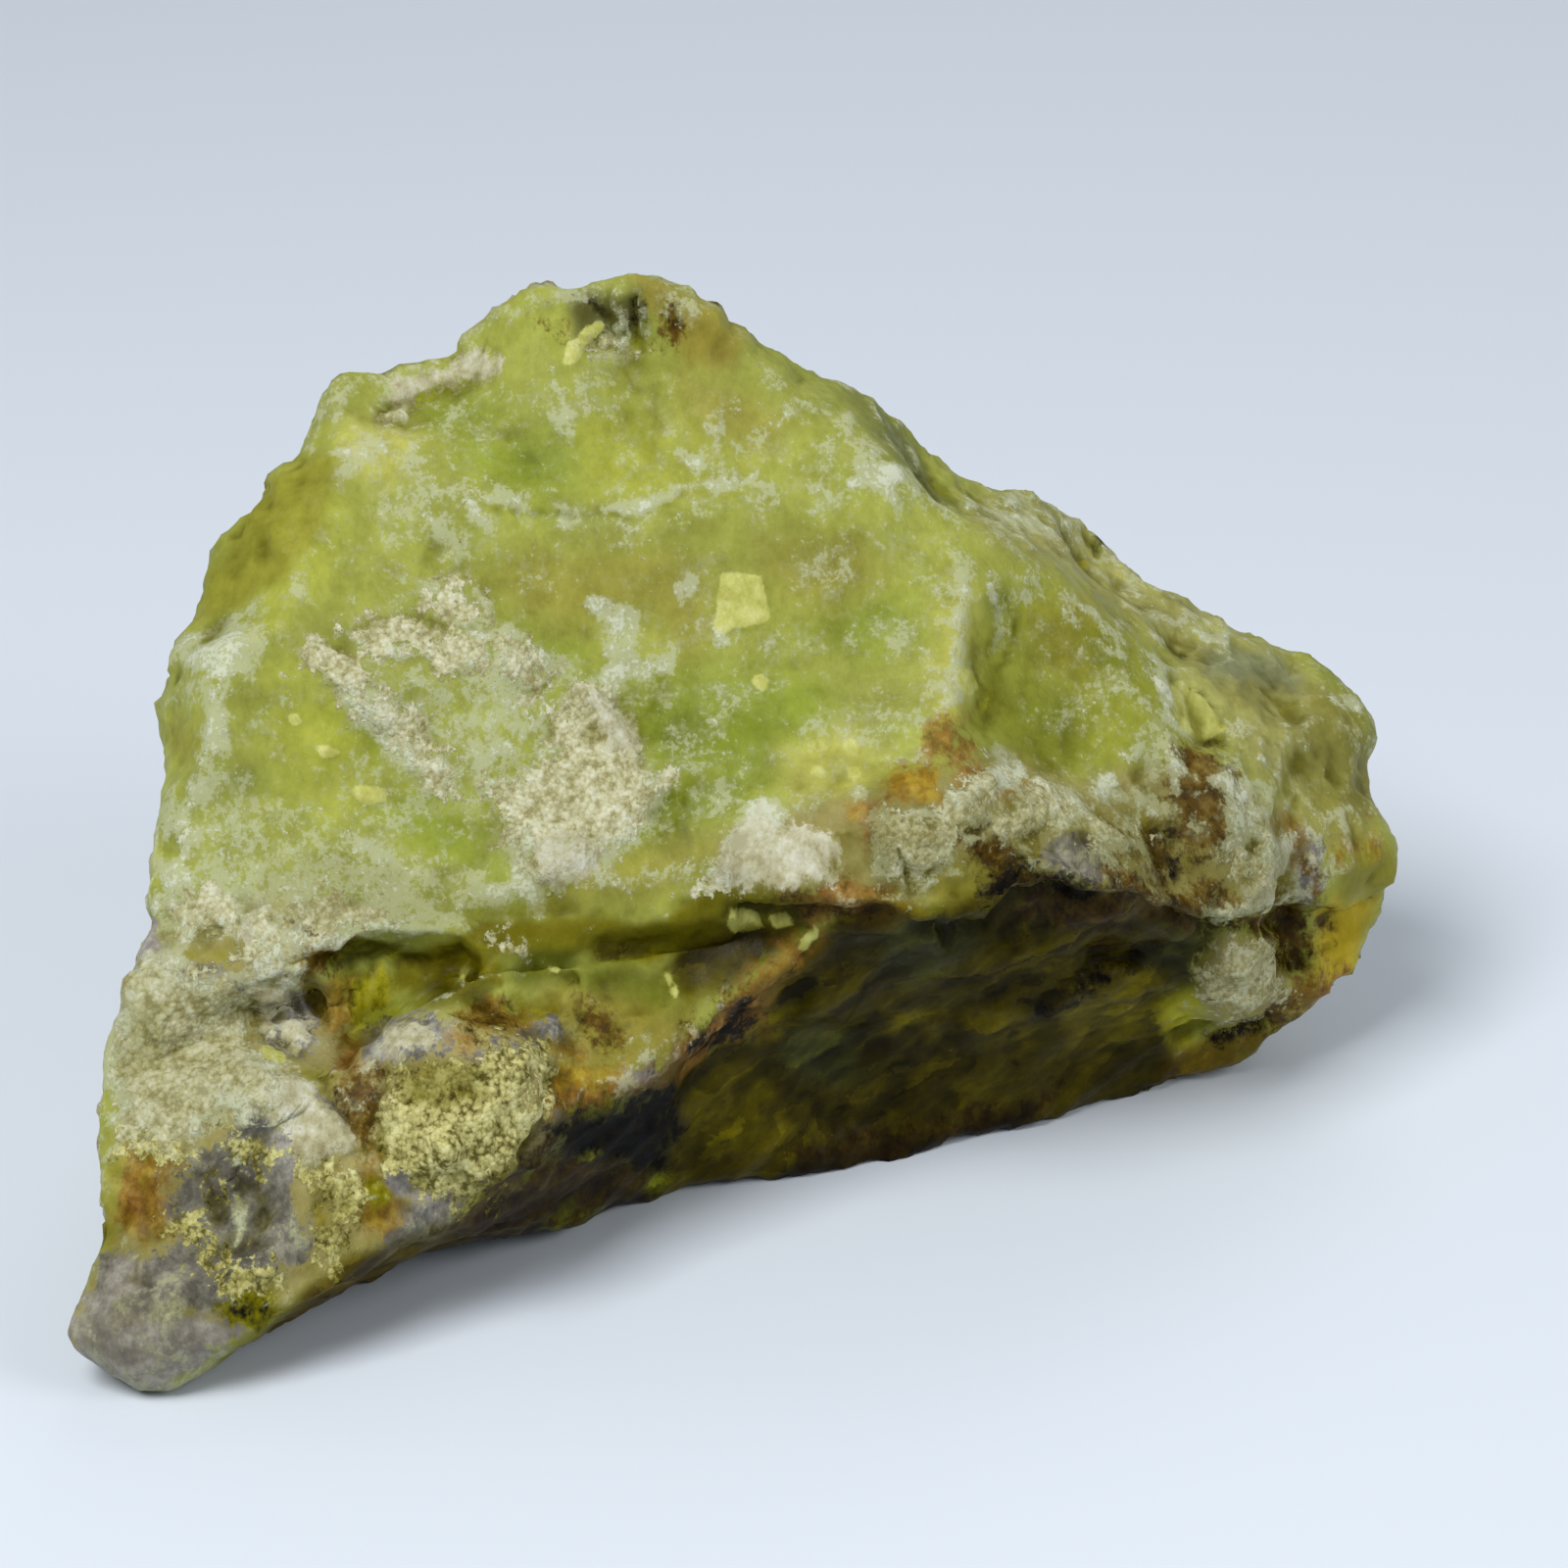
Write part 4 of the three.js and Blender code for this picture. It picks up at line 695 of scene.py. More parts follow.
# Strokes that shape the front: how far they raise the surface in millimetres (or cut into it,
# below nought), half their width, and where they run in the view.
STROKES = [
    # the lip's rim
    (0.5, 0.55, [(738, 908), (790, 912), (850, 914), (905, 918), (945, 930), (1000, 924),
                 (1012, 904), (1036, 884), (1075, 884), (1100, 898), (1150, 902), (1180, 915),
                 (1230, 932)]),
    # the groove below it
    (-0.9, 0.8, [(740, 928), (790, 930), (850, 932), (905, 936), (950, 948), (1004, 942),
                 (1026, 918), (1046, 902), (1072, 902), (1098, 916), (1150, 920), (1180, 933),
                 (1228, 950)]),
    (0.3, 1.2, [(480, 948), (560, 942), (640, 946), (700, 936)]),  # the lip's left part
    # a crack across the broad face
    (-0.25, 0.5, [(500, 518), (560, 524), (620, 524), (655, 530), (700, 503)]),
    (0.14, 0.6, [(1006, 600), (1024, 620), (1026, 650), (1016, 674)]),  # the fold between the faces
    (-0.12, 0.6, [(1016, 606), (1034, 624), (1036, 652)]),
    (0.25, 1.2, [(982, 610), (976, 655), (984, 700), (978, 730)]),
    (-0.5, 0.5, [(606, 314), (626, 326)]),  # notches in the peak
    (-0.6, 0.45, [(645, 306), (648, 338), (653, 354)]),
    (0.4, 0.8, [(630, 300), (632, 330)]),
    (-0.4, 0.6, [(278, 487), (256, 515), (240, 548)]),  # cracks of the left bevel
    (-0.3, 0.5, [(330, 470), (318, 510), (296, 560)]),
    (-0.5, 0.9, [(314, 1000), (322, 1020), (330, 1042)]),  # beside the amber
    (0.7, 1.0, [(268, 1028), (272, 1030)]),  # beads in the groove
    (0.7, 1.1, [(292, 1028), (296, 1034)]),
    (0.6, 1.0, [(282, 1054), (302, 1052)]),
    (0.45, 0.5, [(228, 1168), (236, 1205), (241, 1238), (242, 1270)]),  # a quartz rib in the tail
    (-0.4, 0.8, [(215, 1200), (222, 1240)]),  # hollows beside it
    (-0.4, 0.8, [(262, 1200), (270, 1250)]),
    (-0.6, 0.8, [(300, 982), (345, 978), (400, 976), (440, 985), (480, 992)]),  # the groove's floor
    (0.5, 0.5, [(352, 1000), (375, 986), (400, 985)]),  # rims of brown glass
    (0.4, 0.45, [(352, 1002), (352, 1040)]),
    (-0.5, 0.6, [(330, 1100), (345, 1130), (360, 1150)]),  # cuts round the rubble
    (-0.5, 0.6, [(392, 1090), (388, 1130), (392, 1180)]),
    (-0.5, 0.6, [(560, 1100), (552, 1140), (530, 1180)]),
    (-0.7, 0.5, [(1240, 1056), (1262, 1050), (1284, 1044)]),  # a cut and a ridge by the knob
    (0.4, 0.5, [(1242, 1042), (1264, 1036), (1284, 1032)]),
    (-0.9, 1.4, [(1308, 935), (1320, 960), (1326, 985)]),  # the knob's side
    # a vein in the undercut
    (-0.7, 0.6, [(1040, 1026), (1070, 1015), (1100, 995), (1120, 980), (1160, 975)]),
    (0.5, 0.7, [(1072, 1030), (1105, 1004), (1160, 990), (1184, 1000)]),  # the rim below it
    (0.6, 0.7, [(793, 1094), (797, 1096)]),  # a bead in the undercut
    (0.4, 0.5, [(600, 1020), (640, 1042), (672, 1044), (690, 1022)]),  # the rim of green glass
    (0.5, 0.9, [(558, 1050), (564, 1052)]),  # a bead on the slope
    (-0.4, 0.4, [(833, 955), (812, 982), (784, 1010), (755, 1036)]),  # a cut along the rust
    (-0.5, 0.6, [(1109, 541), (1120, 562)]),  # a notch in the crest
    (-0.5, 0.35, [(1212, 703), (1230, 714), (1246, 738)]),  # a nick in the right face
    # the groove above the knob's crust
    (-0.9, 1.3, [(1195, 930), (1240, 946), (1290, 946), (1325, 935)]),
    (0.5, 0.7, [(1178, 857), (1183, 857)]),  # black beads
    (0.5, 0.7, [(1187, 890), (1191, 890)]),
    (-0.5, 0.7, [(915, 860), (930, 905)]),  # cuts above the lip
    (-0.4, 0.5, [(985, 850), (1012, 842)]),
]

# Small chips broken out all over the stone, each hollow as a ball: how many, how wide across from
# middle to rim, how deep for their width, and how uneven. The front's broad face has none.
CHIPS = 800
CHIP_RADIUS = (0.8, 3.6)
CHIP_DEPTH = (0.04, 0.16)
CHIP_LEAN = 0.14
CHIP_UNEVEN = (2.2, 0.22)
# A chip goes no deeper than this many times its depth, fades out between these distances from its
# middle, as parts of its radius, and stays off faces that are turned further away than this.
CHIP_DEEPEST = 1.5
CHIP_END = (2, 1.5)
CHIP_FACING = 0.3
# A point that is cut by more than this takes the chip's tone.
CHIP_TRACE = 0.02
CHIP_SMOOTHING = 0.3
# Where chips meet, they go no deeper than about this, in millimetres. They start only where the
# stone isn't hollower than this, and isn't calmer than this.
CHIP_MOST = 0.75
CHIP_HOLLOW = -0.2
CHIP_CALM = 0.3
CALM_EDGE = (-1, 1)
CALM_PLACES = [
    # the broad face
    [(330, 440), (640, 290), (860, 400), (985, 520), (1100, 590), (1180, 680), (1180, 760),
     (1120, 820), (1040, 790), (960, 800), (860, 850), (740, 900), (700, 960), (470, 975),
     (190, 930), (180, 760), (220, 650), (300, 540)],
    # the tail's crust
    [(118, 985), (200, 990), (255, 1015), (280, 1100), (262, 1130), (200, 1150), (122, 1160)],
    [(90, 1310), (200, 1320), (260, 1340), (240, 1390), (130, 1440), (70, 1400)],  # the tail's end
    [(560, 965), (700, 955), (735, 1000), (690, 1030), (600, 1030)],  # below the lip
]

# The grain: the finish or part of the stone that it belongs to, its sort of pattern and size in
# millimetres, how high it stands, and how it is turned and drawn out, in degrees and as factors
# of its size. "wild" is all but the calm places, "shaded" the undercut, and "" the whole stone.
GRAINS = [
    ("", "MUSGRAVE", 4.0, 0.1, (0, 0, 0), (1, 1, 1)),
    ("", "CLOUDS", 1.6, 0.1, (0, 0, 0), (1, 1, 1)),
    ("wild", "VORONOI", 3.6, 0.55, (35, 20, 10), (1, 1.6, 1)),
    ("wild", "MUSGRAVE", 3.0, 0.25, (20, 30, 0), (1, 1, 1)),
    ("wild", "CLOUDS", 1.3, 0.22, (0, 40, 0), (1, 1, 1)),
    ("sand", "CLOUDS", 1.25, 0.6, (0, 0, 0), (1, 1, 1)),
    ("rubble", "CLOUDS", 3.4, 1.5, (0, 0, 0), (1, 1, 1)),
    ("rubble", "CLOUDS", 1.1, 0.8, (0, 0, 0), (1, 1, 1)),
    ("shaded", "VORONOI", 5.0, 0.9, (0, -28, 0), (2.2, 1.2, 0.8)),
    ("right", "CLOUDS", 2.2, 0.25, (0, 8, 0), (1, 1, 4)),
]
PATTERNS = {"MUSGRAVE": dict(musgrave_type="RIDGED_MULTIFRACTAL", octaves=3),
            "CLOUDS": dict(noise_depth=3), "VORONOI": dict(noise_intensity=1)}
# The depths at which the grain of the undercut and of the right face starts and is full.
UNDERCUT_EDGE = (-0.5, 1)
RIGHT_FACE_EDGE = (-0.5, 2)
RIGHT_FACE = [[(1000, 590), (1110, 600), (1260, 680), (1400, 790), (1400, 860), (1180, 860),
               (1040, 790), (1005, 690)]]
# How far a finish stands up from the opal under it, in millimetres, and how wide its edge is.
LIFTS = {"sand": 0.25, "rubble": 0.2, "cream": 0.3, "lemon": 0.22}
LIFT_EDGE = 0.3

# The depth inside a finish is kept for the material as far as this, in millimetres.
DEPTH_KEPT = 3
# The material's chances, patchy, fine and grainy: the size of their lumps in millimetres, their
# detail and roughness, and how they are drawn out. They stay within a sixth of their middle, so
# an edge that they move by millimetres takes them this many times, each with its share.
CHANCES = [(2.6, 6, 0.66), (0.75, 5, 0.66, (1, 1, 0.6)), (0.34, 1, 0.66)]
CHANCE_RANGE = (0.35, 0.65)
CHANCE_SPREAD = 6
EDGE_MIX = (1, 0.75, 0.25)
# The opal's clouds: their shares of patchy and fine chance, and their tones, as factors of its
# colour. Then its roughness and its bumps.
CLOUD_MIX = (0.6, 0.4)
CLOUD_TONES = [(0.34, (0.78, 0.76, 0.66, 1)), (0.5, (1, 1, 1, 1)), (0.66, (1.22, 1.2, 1.3, 1))]
OPAL_ROUGHNESS = (0.3, 0.5)
OPAL_BUMP = 0.12
# The streaks in the shaded front: their size, detail and roughness, how they are turned and drawn
# out, their tones, how dark the stone is where they fade out, and the shares of the streaks, of
# the panels among them, and of 1.
STREAK = (1.9, 5, 0.62)
STREAK_TURN = (0, math.radians(-28), 0)
STREAK_STRETCH = (2.6, 1.5, 1)
STREAK_TONES = [(0.34, (0.46, 0.42, 0.34, 1)), (0.46, (0.88, 0.84, 0.66, 1)),
                (0.56, (1.15, 1.12, 0.8, 1)), (0.7, (2.1, 2.1, 1.1, 1))]
STREAK_LIGHT = (0.35, 0.8)
STREAK_MIX = (0.8, 0.22, -0.01)
# The flat broken panels among the streaks: their size, and how far their edges bend.
PANEL = 1.9
PANEL_DRIFT = 3.5
# How the powder lies: as a haze, as torn films and as specks. Each has a colour, the channels of
# patchy, fine and grainy chance that break it up, the shares of these and of the powder's amount,
# where it starts and is full, and how much it hides at most.
POWDERS = {
    "haze": dict(colour=(180, 182, 138), channels=(2, 0, 2), mix=(0.5, 0.35, 0.15, 0.32),
                 edge=(0.58, 0.76), most=0.55),
    "film": dict(colour=(198, 202, 168), channels=(2, 1, 2), mix=(0.4, 0.4, 0.2, 0.32),
                 edge=(0.655, 0.695), most=0.38),
    "specks": dict(colour=(214, 218, 194), channels=(1, 0, 1), mix=(0.32, 0.36, 0.32, 0.24),
                   edge=(0.67, 0.77), most=0.7),
}
# How high haze, film and specks stand, with the opal's own bumps last, and how dull haze is.
POWDER_HEIGHTS = (0.04, 0, 0.06, 1)
HAZE_ROUGHNESS = 0.85
# This finish and those after it lie on the powder, and only this share of its specks on them.
CLEAN_FROM = "lemon"
SPECKS_OVER_ALL = 0.3
# Where a finish's three tones lie along a chance.
TONE_STOPS = (0.4, 0.5, 0.6)
# The finishes made of crumbs, the size of a crumb, the shares that patchy and fine chance, a
# crumb's own, its gap and 1 have in its tone, and those of its gap and fine chance in its height.
CRUMBLY = ("sand", "rubble")
CRUMB = 0.4
CRUMB_MIX = (0.4, 0.45, 0.1, -0.1, 0.07)
CRUMB_BUMP = (-0.15, 0.45)
# Painted shade: what is left of the colour where the stone is painted dark for its place.
DARK_TONES = [(0, (0, 0, 0, 1)), (0.4, (0.37, 0.35, 0.14, 1)), (0.7, (0.67, 0.66, 0.5, 1)),
              (1, (1, 1, 1, 1))]


def paint(red, green, blue):
    """A colour as it looks on a screen, 0 to 255, as the linear colour that shaders use."""
    shares = [value / 255 for value in (red, green, blue)]
    return tuple(s / 12.92 if s <= 0.04045 else ((s + 0.055) / 1.055) ** 2.4 for s in shares) + (1,)


def stone_paint(colour):
    """The stone's own linear colour, for how it should look in the studio's light."""
    return tuple(STONE_SHARE * value for value in paint(*colour)[:3]) + (1,)


def camera():
    """The camera, at the angle and distance that the view of the front is made for."""
    spot = (CAMERA_AIM + Vector(TO_CAMERA) * CAMERA_DISTANCE) * MM
    bpy.ops.object.camera_add(location=spot, rotation=(math.pi / 2 - CAMERA_RISE, 0, 0))
    viewer = bpy.context.object
    viewer.data.sensor_width = SENSOR
    viewer.data.lens = SENSOR * CAMERA_DISTANCE / (PIXEL * VIEW_SIDE)
    viewer.data.clip_start = NEAREST_SEEN * MM
    bpy.context.scene.camera = viewer


def select_only(thing):
    bpy.ops.object.select_all(action="DESELECT")
    thing.select_set(True)
    bpy.context.view_layer.objects.active = thing


def apply_modifier(thing, kind, **settings):
    """Adds a modifier with these settings and applies it."""
    select_only(thing)
    bpy.ops.object.modifier_add(type=kind)
    modifier = thing.modifiers[-1]
    for name, value in settings.items():
        setattr(modifier, name, value)
    bpy.ops.object.modifier_apply(modifier=modifier.name)


def divided_stone():
    """A copy of the stone's solid, merged and divided finely enough for its grain."""
    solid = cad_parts["opal_stone"]
    stone = bpy.data.objects.new("rough_opal", solid.data.copy())
    bpy.context.collection.objects.link(stone)
    select_only(stone)
    bpy.ops.object.mode_set(mode="EDIT")
    bpy.ops.mesh.customdata_custom_splitnormals_clear()
    bpy.ops.mesh.select_all(action="SELECT")
    bpy.ops.mesh.remove_doubles(threshold=MERGE_GAP * MM)
    for _ in range(DIVISIONS):
        bpy.ops.mesh.subdivide(number_cuts=1, smoothness=ROUNDNESS)
    bpy.ops.object.mode_set(mode="OBJECT")
    bpy.ops.object.shade_smooth()
    apply_modifier(stone, "SMOOTH", factor=SMOOTHING, iterations=SMOOTH_ROUNDS)
    return stone


def places_and_normals(stone):
    """The points of the mesh in millimetres, and their normals."""
    mesh = stone.data
    places = np.empty(len(mesh.vertices) * 3, np.float32)
    normals = np.empty(len(mesh.vertices) * 3, np.float32)
    mesh.vertices.foreach_get("co", places)
    mesh.vertices.foreach_get("normal", normals)
    return places.reshape(-1, 3) / MM, normals.reshape(-1, 3)


def move_points(stone, places):
    """Puts the points of the mesh at these places, in millimetres."""
    stone.data.vertices.foreach_set("co", (places * MM).astype(np.float32).ravel())
    stone.data.update()


def smooth_step(low, high, values):
    """0 up to low, 1 from high, and a smooth rise between them."""
    share = np.clip((values - low) / (high - low), 0, 1)
    return share * share * (3 - 2 * share)


def wild(places, size, seed):
    """Chance over the stone, about -1 to 1, smooth, in lumps of this size in millimetres."""
    lattice = np.random.default_rng(seed).uniform(-1, 1, (CHANCE_CELLS,) * 3)
    scaled = places / size + CHANCE_CELLS * 2
    cell = np.floor(scaled).astype(int)
    share = smooth_step(0, 1, scaled - cell)
    total = np.zeros(len(places))
    for corner in np.ndindex(2, 2, 2):
        weight = np.prod(np.where(corner, share, 1 - share), axis=1)
        total += weight * lattice[tuple(((cell + corner) % CHANCE_CELLS).T)]
    return total


def seen(places):
    """Where the camera's view shows these places, in pixels from its top left corner."""
    along = np.array((0, math.cos(CAMERA_RISE), -math.sin(CAMERA_RISE)))
    up = np.array((0, math.sin(CAMERA_RISE), math.cos(CAMERA_RISE)))
    offset = places - np.array(CAMERA_AIM)
    scale = CAMERA_DISTANCE / PIXEL / (CAMERA_DISTANCE + offset @ along)
    across = VIEW_SIDE / 2 + offset[:, 0] * scale
    down = VIEW_SIDE / 2 - (offset @ up) * scale
    return np.stack([across, down], 1)


def warped(places):
    """The places in the view, each moved a little by chance, so that no outline stays straight."""
    spots = seen(places)
    for axis in (0, 1):
        for turn, (size, distance) in enumerate(WARP):
            chance = wild(places, size, WARP_SEED + axis + 2 * turn)
            spots[:, axis] += chance * distance / PIXEL
    return spots


def line_distance(spots, start, end):
    """How far each spot in the view is from one stretch of a line."""
    start, end = np.array(start, float), np.array(end, float)
    way = end - start
    share = np.clip((spots - start) @ way / max(way @ way, TINY), 0, 1)
    return np.linalg.norm(spots - start - share[:, None] * way, axis=1)


def depth_in_line(spots, line, half_width):
    """How far inside a line of this half width the spots lie, in millimetres."""
    nearest = np.min([line_distance(spots, a, b) for a, b in zip(line, line[1:])], axis=0)
    return half_width - nearest * PIXEL


def depth_in_area(spots, outline):
    """How far inside a closed outline the spots lie, in millimetres."""
    closed = list(zip(outline, outline[1:] + outline[:1]))
    nearest = np.min([line_distance(spots, a, b) for a, b in closed], axis=0)
    inside = np.zeros(len(spots), bool)
    for (across_a, down_a), (across_b, down_b) in closed:
        between = (down_a > spots[:, 1]) != (down_b > spots[:, 1])
        rise = (down_b - down_a) or TINY
        crossing = across_a + (spots[:, 1] - down_a) / rise * (across_b - across_a)
        inside ^= between & (spots[:, 0] < crossing)
    return np.where(inside, 1, -1) * nearest * PIXEL


def facing_front(normals):
    """How much each point belongs to the front, which the camera sees, 0 to 1."""
    return smooth_step(*TURNED, normals @ np.array(TO_CAMERA))


def on_front(spots, front, outlines, low, high):
    """How much each point belongs to these areas of the front: nothing at the depth low in them,
    all at the depth high, in millimetres."""
    depth = np.max([depth_in_area(spots, outline) for outline in outlines], axis=0)
    return smooth_step(low, high, depth) * front


def weigh(stone, name, weights):
    """A vertex group with these weights, for a modifier to follow."""
    group = stone.vertex_groups.new(name=name)
    for number in np.nonzero(weights > LEAST_WEIGHT)[0]:
        group.add([int(number)], float(min(weights[number], 1)), "REPLACE")


def swell(stone):
    """Fills crevices of the front, draws its lip lower, and raises swells and presses in dents."""
    places, normals = places_and_normals(stone)
    front = facing_front(normals)
    weigh(stone, "filled", on_front(seen(places), front, FILLED, *FILLED_EDGE))
    apply_modifier(stone, "SMOOTH", factor=SMOOTHING, iterations=FILL_ROUNDS,
                   vertex_group="filled")
    places, normals = places_and_normals(stone)
    drawn = np.zeros(len(places))
    for way, slope, outline in DRAWN:
        share = smooth_step(0, slope, depth_in_area(seen(places), outline)) * (places[:, 1] < 0)
        places += share[:, None] * np.array(way)
        drawn = np.maximum(drawn, share)
    move_points(stone, places)
    weigh(stone, "drawn", drawn)
    apply_modifier(stone, "SMOOTH", factor=SMOOTHING, iterations=DRAWN_ROUNDS,
                   vertex_group="drawn")
    stone.vertex_groups.clear()
    places, normals = places_and_normals(stone)
    spots = seen(places)
    raised = np.zeros(len(places))
    for height, slope, outline in SWELLS:
        raised += height * smooth_step(0, slope, depth_in_area(spots, outline))
    move_points(stone, places + (raised * facing_front(normals))[:, None] * normals)


def bulge(stone, rounds):
    """How far each point stands out from those round it, in millimetres."""
    places, normals = places_and_normals(stone)
    edges = np.empty(len(stone.data.edges) * 2, np.int32)
    stone.data.edges.foreach_get("vertices", edges)
    ends = edges.reshape(-1, 2)
    from_end, to_end = np.concatenate([ends, ends[:, ::-1]]).T
    count = np.bincount(from_end, minlength=len(places))
    smooth = places.astype(float)
    for _ in range(rounds):
        smooth = np.stack([np.bincount(from_end, smooth[to_end, axis], len(places)) / count
                           for axis in range(3)], 1)
    return np.einsum("ij,ij->i", places - smooth, normals)


def chip(stone):
    """Breaks small chips out of the stone, each with a crisp rim. Returns the chip that each
    point lies in, as a chance value from -1 to 1."""
    draw = random.Random(CHIP_SEED)
    places, normals = places_and_normals(stone)
    calm = on_front(seen(places), facing_front(normals), CALM_PLACES, *CALM_EDGE)
    chipped = places.astype(float)
    shift = np.zeros(len(places))
    lump_size, unevenness = CHIP_UNEVEN
    uneven = wild(places, lump_size, UNEVEN_SEED) * unevenness
    starts = np.nonzero((bulge(stone, LUMP_ROUNDS) > CHIP_HOLLOW) & (calm < CHIP_CALM))[0]
    for _ in range(CHIPS):
        middle = starts[draw.randrange(len(starts))]
        radius = CHIP_RADIUS[0] + (CHIP_RADIUS[1] - CHIP_RADIUS[0]) * draw.random() ** 2
        depth = radius * draw.uniform(*CHIP_DEPTH)
        ball = (radius ** 2 + depth ** 2) / (2 * depth)
        lean = np.array([draw.uniform(-CHIP_LEAN, CHIP_LEAN) for _ in range(3)])
        out = normals[middle] + lean
        centre = chipped[middle] + out / np.linalg.norm(out) * (ball - depth)
        offset = chipped - centre
        away = np.linalg.norm(offset, axis=1)
        reach = np.linalg.norm(chipped - chipped[middle], axis=1) / radius
        cut = np.clip(ball + uneven - away, 0, CHIP_DEEPEST * depth)
        cut = cut * smooth_step(*CHIP_END, reach)
        cut *= (1 - calm) * (normals @ normals[middle] > CHIP_FACING)
        chipped += offset / away[:, None] * cut[:, None]
        shift[cut > CHIP_TRACE] = draw.uniform(-1, 1)
    pushed = chipped - places
    deep = np.maximum(np.linalg.norm(pushed, axis=1, keepdims=True), TINY)
    move_points(stone, places + pushed * CHIP_MOST * (1 - np.exp(-deep / CHIP_MOST)) / deep)
    apply_modifier(stone, "SMOOTH", factor=CHIP_SMOOTHING, iterations=1)
    return shift


def stroke(stone):
    """Raises and cuts the strokes that are seen on the front, each rounded across."""
    places, normals = places_and_normals(stone)
    spots = seen(places)
    front = facing_front(normals)
    raised = np.zeros(len(places))
    for height, half_width, line in STROKES:
        share = np.clip(depth_in_line(spots, line, half_width) / half_width, 0, 1)
        raised += height * (1 - (1 - share) ** 2) ** 2
    move_points(stone, places + (raised * front)[:, None] * normals)


def roughen(stone, depths, spots, front):
    """Raises the crusts and flakes, gives every surface its grain, and keeps the flat underside
    on the ground."""
    for name in LIFTS:
        weigh(stone, name, smooth_step(0, LIFT_EDGE, depths[name]))
    weigh(stone, "shaded", on_front(spots, front, UNDERCUT, *UNDERCUT_EDGE))
    weigh(stone, "right", on_front(spots, front, RIGHT_FACE, *RIGHT_FACE_EDGE))
    weigh(stone, "wild", 1 - on_front(spots, front, CALM_PLACES, *CALM_EDGE))
    for name, height in LIFTS.items():
        apply_modifier(stone, "DISPLACE", strength=height * MM, mid_level=0, vertex_group=name)
    for number, (name, kind, size, height, turn, drawn) in enumerate(GRAINS):
        texture = bpy.data.textures.new(f"grain_{number}", kind)
        for setting, value in PATTERNS[kind].items():
            setattr(texture, setting, value)
        texture.noise_scale = 1
        bpy.ops.object.empty_add(rotation=[math.radians(angle) for angle in turn])
        guide = bpy.context.object
        guide.scale = [size * MM * factor for factor in drawn]
        bpy.context.view_layer.update()
        apply_modifier(stone, "DISPLACE", texture=texture, texture_coords="OBJECT",
                       texture_coords_object=guide, strength=height * MM, mid_level=0.5,
                       vertex_group=name)
        bpy.data.objects.remove(guide)
    stone.vertex_groups.clear()
    places, _ = places_and_normals(stone)
    places[:, 2] = np.maximum(places[:, 2], 0)
    move_points(stone, places)


def keep(stone, name, values):
    """Keeps a value at each point of the mesh, for the material to read."""
    attribute = stone.data.attributes.new(name, "FLOAT", "POINT")
    attribute.data.foreach_set("value", values.astype(np.float32))


def keep_colour(stone, name, colours):
    """Keeps a colour at each point of the mesh, for the material to read."""
    attribute = stone.data.attributes.new(name, "FLOAT_COLOR", "POINT")
    full = np.concatenate([colours, np.ones((len(colours), 1))], 1)
    attribute.data.foreach_set("color", full.astype(np.float32).ravel())


def finish_depths(places, warped_spots, front):
    """How deep inside each finish every point lies, in millimetres, with chance on the back."""
    depths = {}
    true_spots = seen(places)
    for number, finish in enumerate(FINISHES):
        spots = true_spots + (warped_spots - true_spots) * finish.get("loose", LOOSE)
        found = [depth_in_area(spots, outline) for outline in finish["areas"]]
        found += [depth_in_line(spots, line, half) for half, line in finish["lines"]]
        size, rare = finish["hidden"]
        behind = (wild(places, size, FINISH_SEED + number) - rare) * size
        depths[finish["name"]] = np.max(found, axis=0) * front + behind * (1 - front)
    return depths


def tint(stone, places, spots, front, chips):
    """Paints the opal's own colour at every point."""
    body = np.tile(np.array(paint(*OPAL)[:3]), (len(places), 1))
    for number, (colour, fade, strength, outlines) in enumerate(TINTS):
        share = on_front(spots, front, outlines, -fade, fade)
        behind = smooth_step(*TINT_RARE, wild(places, TINT_PATCH, TINT_SEED + number))
        share = ((share + behind * (1 - front) * TINT_BEHIND) * strength)[:, None]
        body = body * (1 - share) + np.array(paint(*colour)[:3]) * share
    cloud = wild(places, CLOUD_SIZE, CLOUD_SEED)
    body *= (1 + CHIP_TONE * chips + CLOUD_TONE * cloud)[:, None]
    keep_colour(stone, "body", np.clip(body * STONE_SHARE, 0, 1))


def shade(stone, normals, spots, front, rims):
    """Mostly painted shade: how dark every point is painted for its place. 1 is fully lit."""
    dark = np.ones(len(normals))
    for factor, fade, outlines in SHADES:
        share = on_front(spots, front, outlines, -fade, fade)
        dark = np.minimum(dark, 1 - (1 - factor) * share)
    # painted shade on faces that look down, out of the front's view
    dark *= 1 - UNDERSIDE_SHADE * smooth_step(*DOWNWARD_FACING, -normals[:, 2]) * (1 - front)
    hollows = smooth_step(*HOLLOW_DEPTH, -bulge(stone, LUMP_ROUNDS))
    # painted shade in nicks and hollows
    dark *= 1 - NICK_SHADE * smooth_step(*NICK_DEPTH, -rims) - HOLLOW_SHADE * hollows
    keep(stone, "dark", dark)
    return dark


